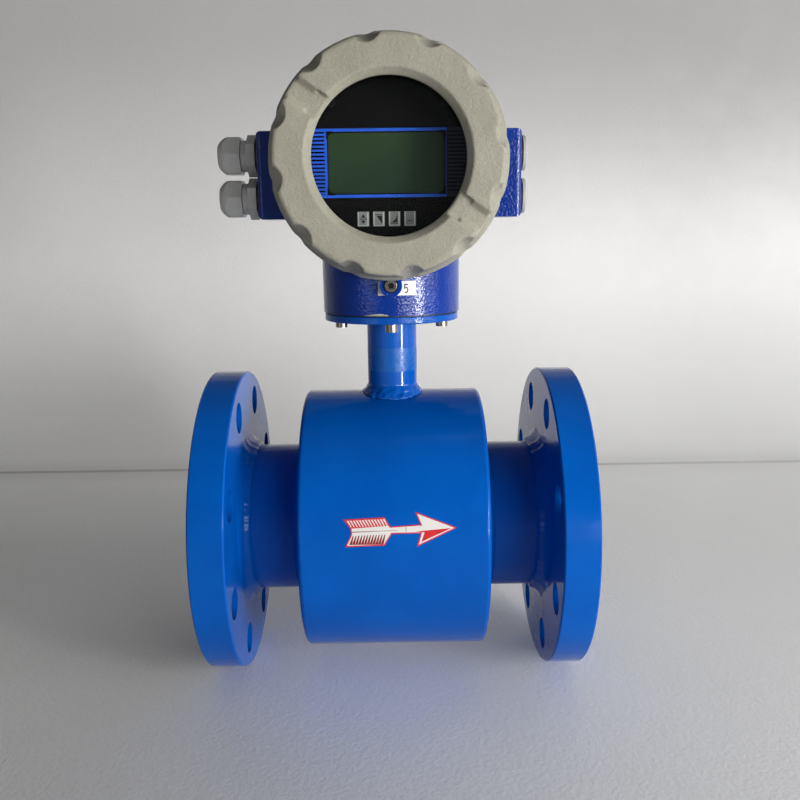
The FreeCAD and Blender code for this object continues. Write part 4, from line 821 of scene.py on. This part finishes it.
def make_castings():
    """The covers and the neck, whose sharp CAD edges are rounded as the real ones are."""
    casting, weld = 0.8 * MM, 0.6 * MM  # voxel sizes
    soften("front_cover", "front_cover_casting", casting, 7, "front_cover",
           slots=(145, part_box("front_cover")[0].y))
    soften("rear_cover", "rear_cover_casting", casting, 7, "rear_cover",
           slots=(15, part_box("rear_cover")[1].y))
    soften("neck_tube", "neck_welded", weld, 4, "meter", (101 * MM, 1.1 * MM, 4.5 * MM), finish="neck_paint")


# ---------------------------------------------------------------- stage and light

def make_stage_finish():
    """Pale grey with a soft grain. Painted shade: a dark line with a soft dark band beside it, standing for
    the corner of floor and wall, and a darkening toward the wall's top. Painted light: on the window's side
    an emission, which the camera, glass and gloss see and diffuse light doesn't."""
    f = Finish("stage", Specular_IOR_Level=0.6)
    tint = f.mix(f.fit(f.noise(0.25, 4, 0.6), 0.3, 0.7), linear(245, 244, 242), linear(249, 248, 247))
    speck = f.fit(f.noise(0.004, 3, 0.6), 0.35, 0.65)
    tint = f.mix(f.sums("MULTIPLY", speck, 0.35), tint, linear(252, 252, 252))
    where = f.node("SeparateXYZ", {"Vector": f.where}).outputs
    # painted shade: the wall darkens toward its top
    tint = f.mix(f.fit(where["Z"], 0.16, 0.55, 0.0, 0.42), tint, linear(60, 60, 58))
    # painted shade: a dark line and a soft dark band beside it, standing for the corner of floor and wall
    corner_shade = linear(110, 108, 104)
    away = f.sums("ABSOLUTE", f.sums("SUBTRACT", where["Y"], CORNER_SHADE_Y), 0.0)
    tint = f.mix(f.fit(away, 0.0, 0.07, 0.14, 0.0), tint, corner_shade)
    f.colour(f.mix(f.fit(away, 0.001, 0.009, 0.5, 0.0), tint, corner_shade))
    f.roughness(f.noise(0.05, 3, 0.6), 0.5, 0.65)
    f.bump(f.noise(0.003, 3, 0.6), 0.0003)
    # painted light: an emission that grows toward the window's side and fades up the wall
    painted_window_light = f.sums("MULTIPLY", f.fit(where["X"], -0.22, 0.45, 0.0, 0.15),
                  f.fit(where["Z"], 0.16, 0.42, 1.0, 0.0))
    f.link(f.sums("MULTIPLY", f.seen(), painted_window_light), "Emission Strength")
    return f.material


def make_stage():
    """A pale floor that turns up into a pale wall."""
    profile = [(STAGE_FRONT, FLOOR), (WALL_Y - COVE_RADIUS, FLOOR)]
    for i in range(1, COVE_STEPS + 1):
        a = math.pi / 2 * i / COVE_STEPS
        profile.append((WALL_Y - COVE_RADIUS + COVE_RADIUS * math.sin(a),
                        FLOOR + COVE_RADIUS - COVE_RADIUS * math.cos(a)))
    profile.append((WALL_Y, WALL_TOP))
    bm = bmesh.new()
    left = [bm.verts.new((-STAGE_SIDE, y, z)) for y, z in profile]
    right = [bm.verts.new((STAGE_SIDE, y, z)) for y, z in profile]
    for i in range(len(profile) - 1):
        bm.faces.new((left[i], right[i], right[i + 1], left[i + 1]))
    mesh = bpy.data.meshes.new("stage")
    bm.to_mesh(mesh)
    bm.free()
    for polygon in mesh.polygons:
        polygon.use_smooth = True
    mesh.materials.append(make_stage_finish())
    add("stage", mesh)


def make_light():
    """Lamps, and a world that is brighter on the window's side.
    Low down, the camera and glass see an even backdrop there instead, and gloss sees a part of it."""
    world = bpy.data.worlds.new("world")
    bpy.context.scene.world = world
    world.use_nodes = True
    n = Nodes(world.node_tree)
    toward = n.node("TexCoord").outputs["Generated"]
    axes = n.node("SeparateXYZ", {"Vector": toward}).outputs
    strength = 1.0
    for axis, ends in WORLD_RAMPS:
        strength = n.sums("MULTIPLY", strength, n.fit(axes[axis], *ends))
    backdrop = n.sums("MULTIPLY", n.seen(BACKDROP_IN_GLOSS), n.fit(axes["Z"], *BACKDROP_FADE))
    strength = n.node("Mix", {"Factor": backdrop, "A": strength, "B": BACKDROP_STRENGTH}, data_type="FLOAT")
    background = world.node_tree.nodes["Background"].inputs
    n.feed(strength.outputs["Result"], background["Strength"])
    n.feed(WORLD_COLOUR, background["Color"])
    for lamp in LAMPS:
        make_lamp(*lamp)


bpy.context.scene.view_settings.view_transform = "Standard"
make_camera()
make_light()
make_stage()
FINISHES = make_finishes()
for node, ob in NODES.items():
    for material_slot in ob.material_slots:
        material_slot.material = FINISHES[SLOT_OF[node]]
NODES["neck_plate"].material_slots[0].material = FINISHES["plate_paint"]
NODES["window_glass"].visible_shadow = False

make_castings()
make_neck_film()
make_paint_chip()
make_flow_arrow()
make_collar_label()
# painted shade in the lock screw's socket and round its head
make_lock_recess_shade()
make_display_print()
make_key_marks()
make_welds()
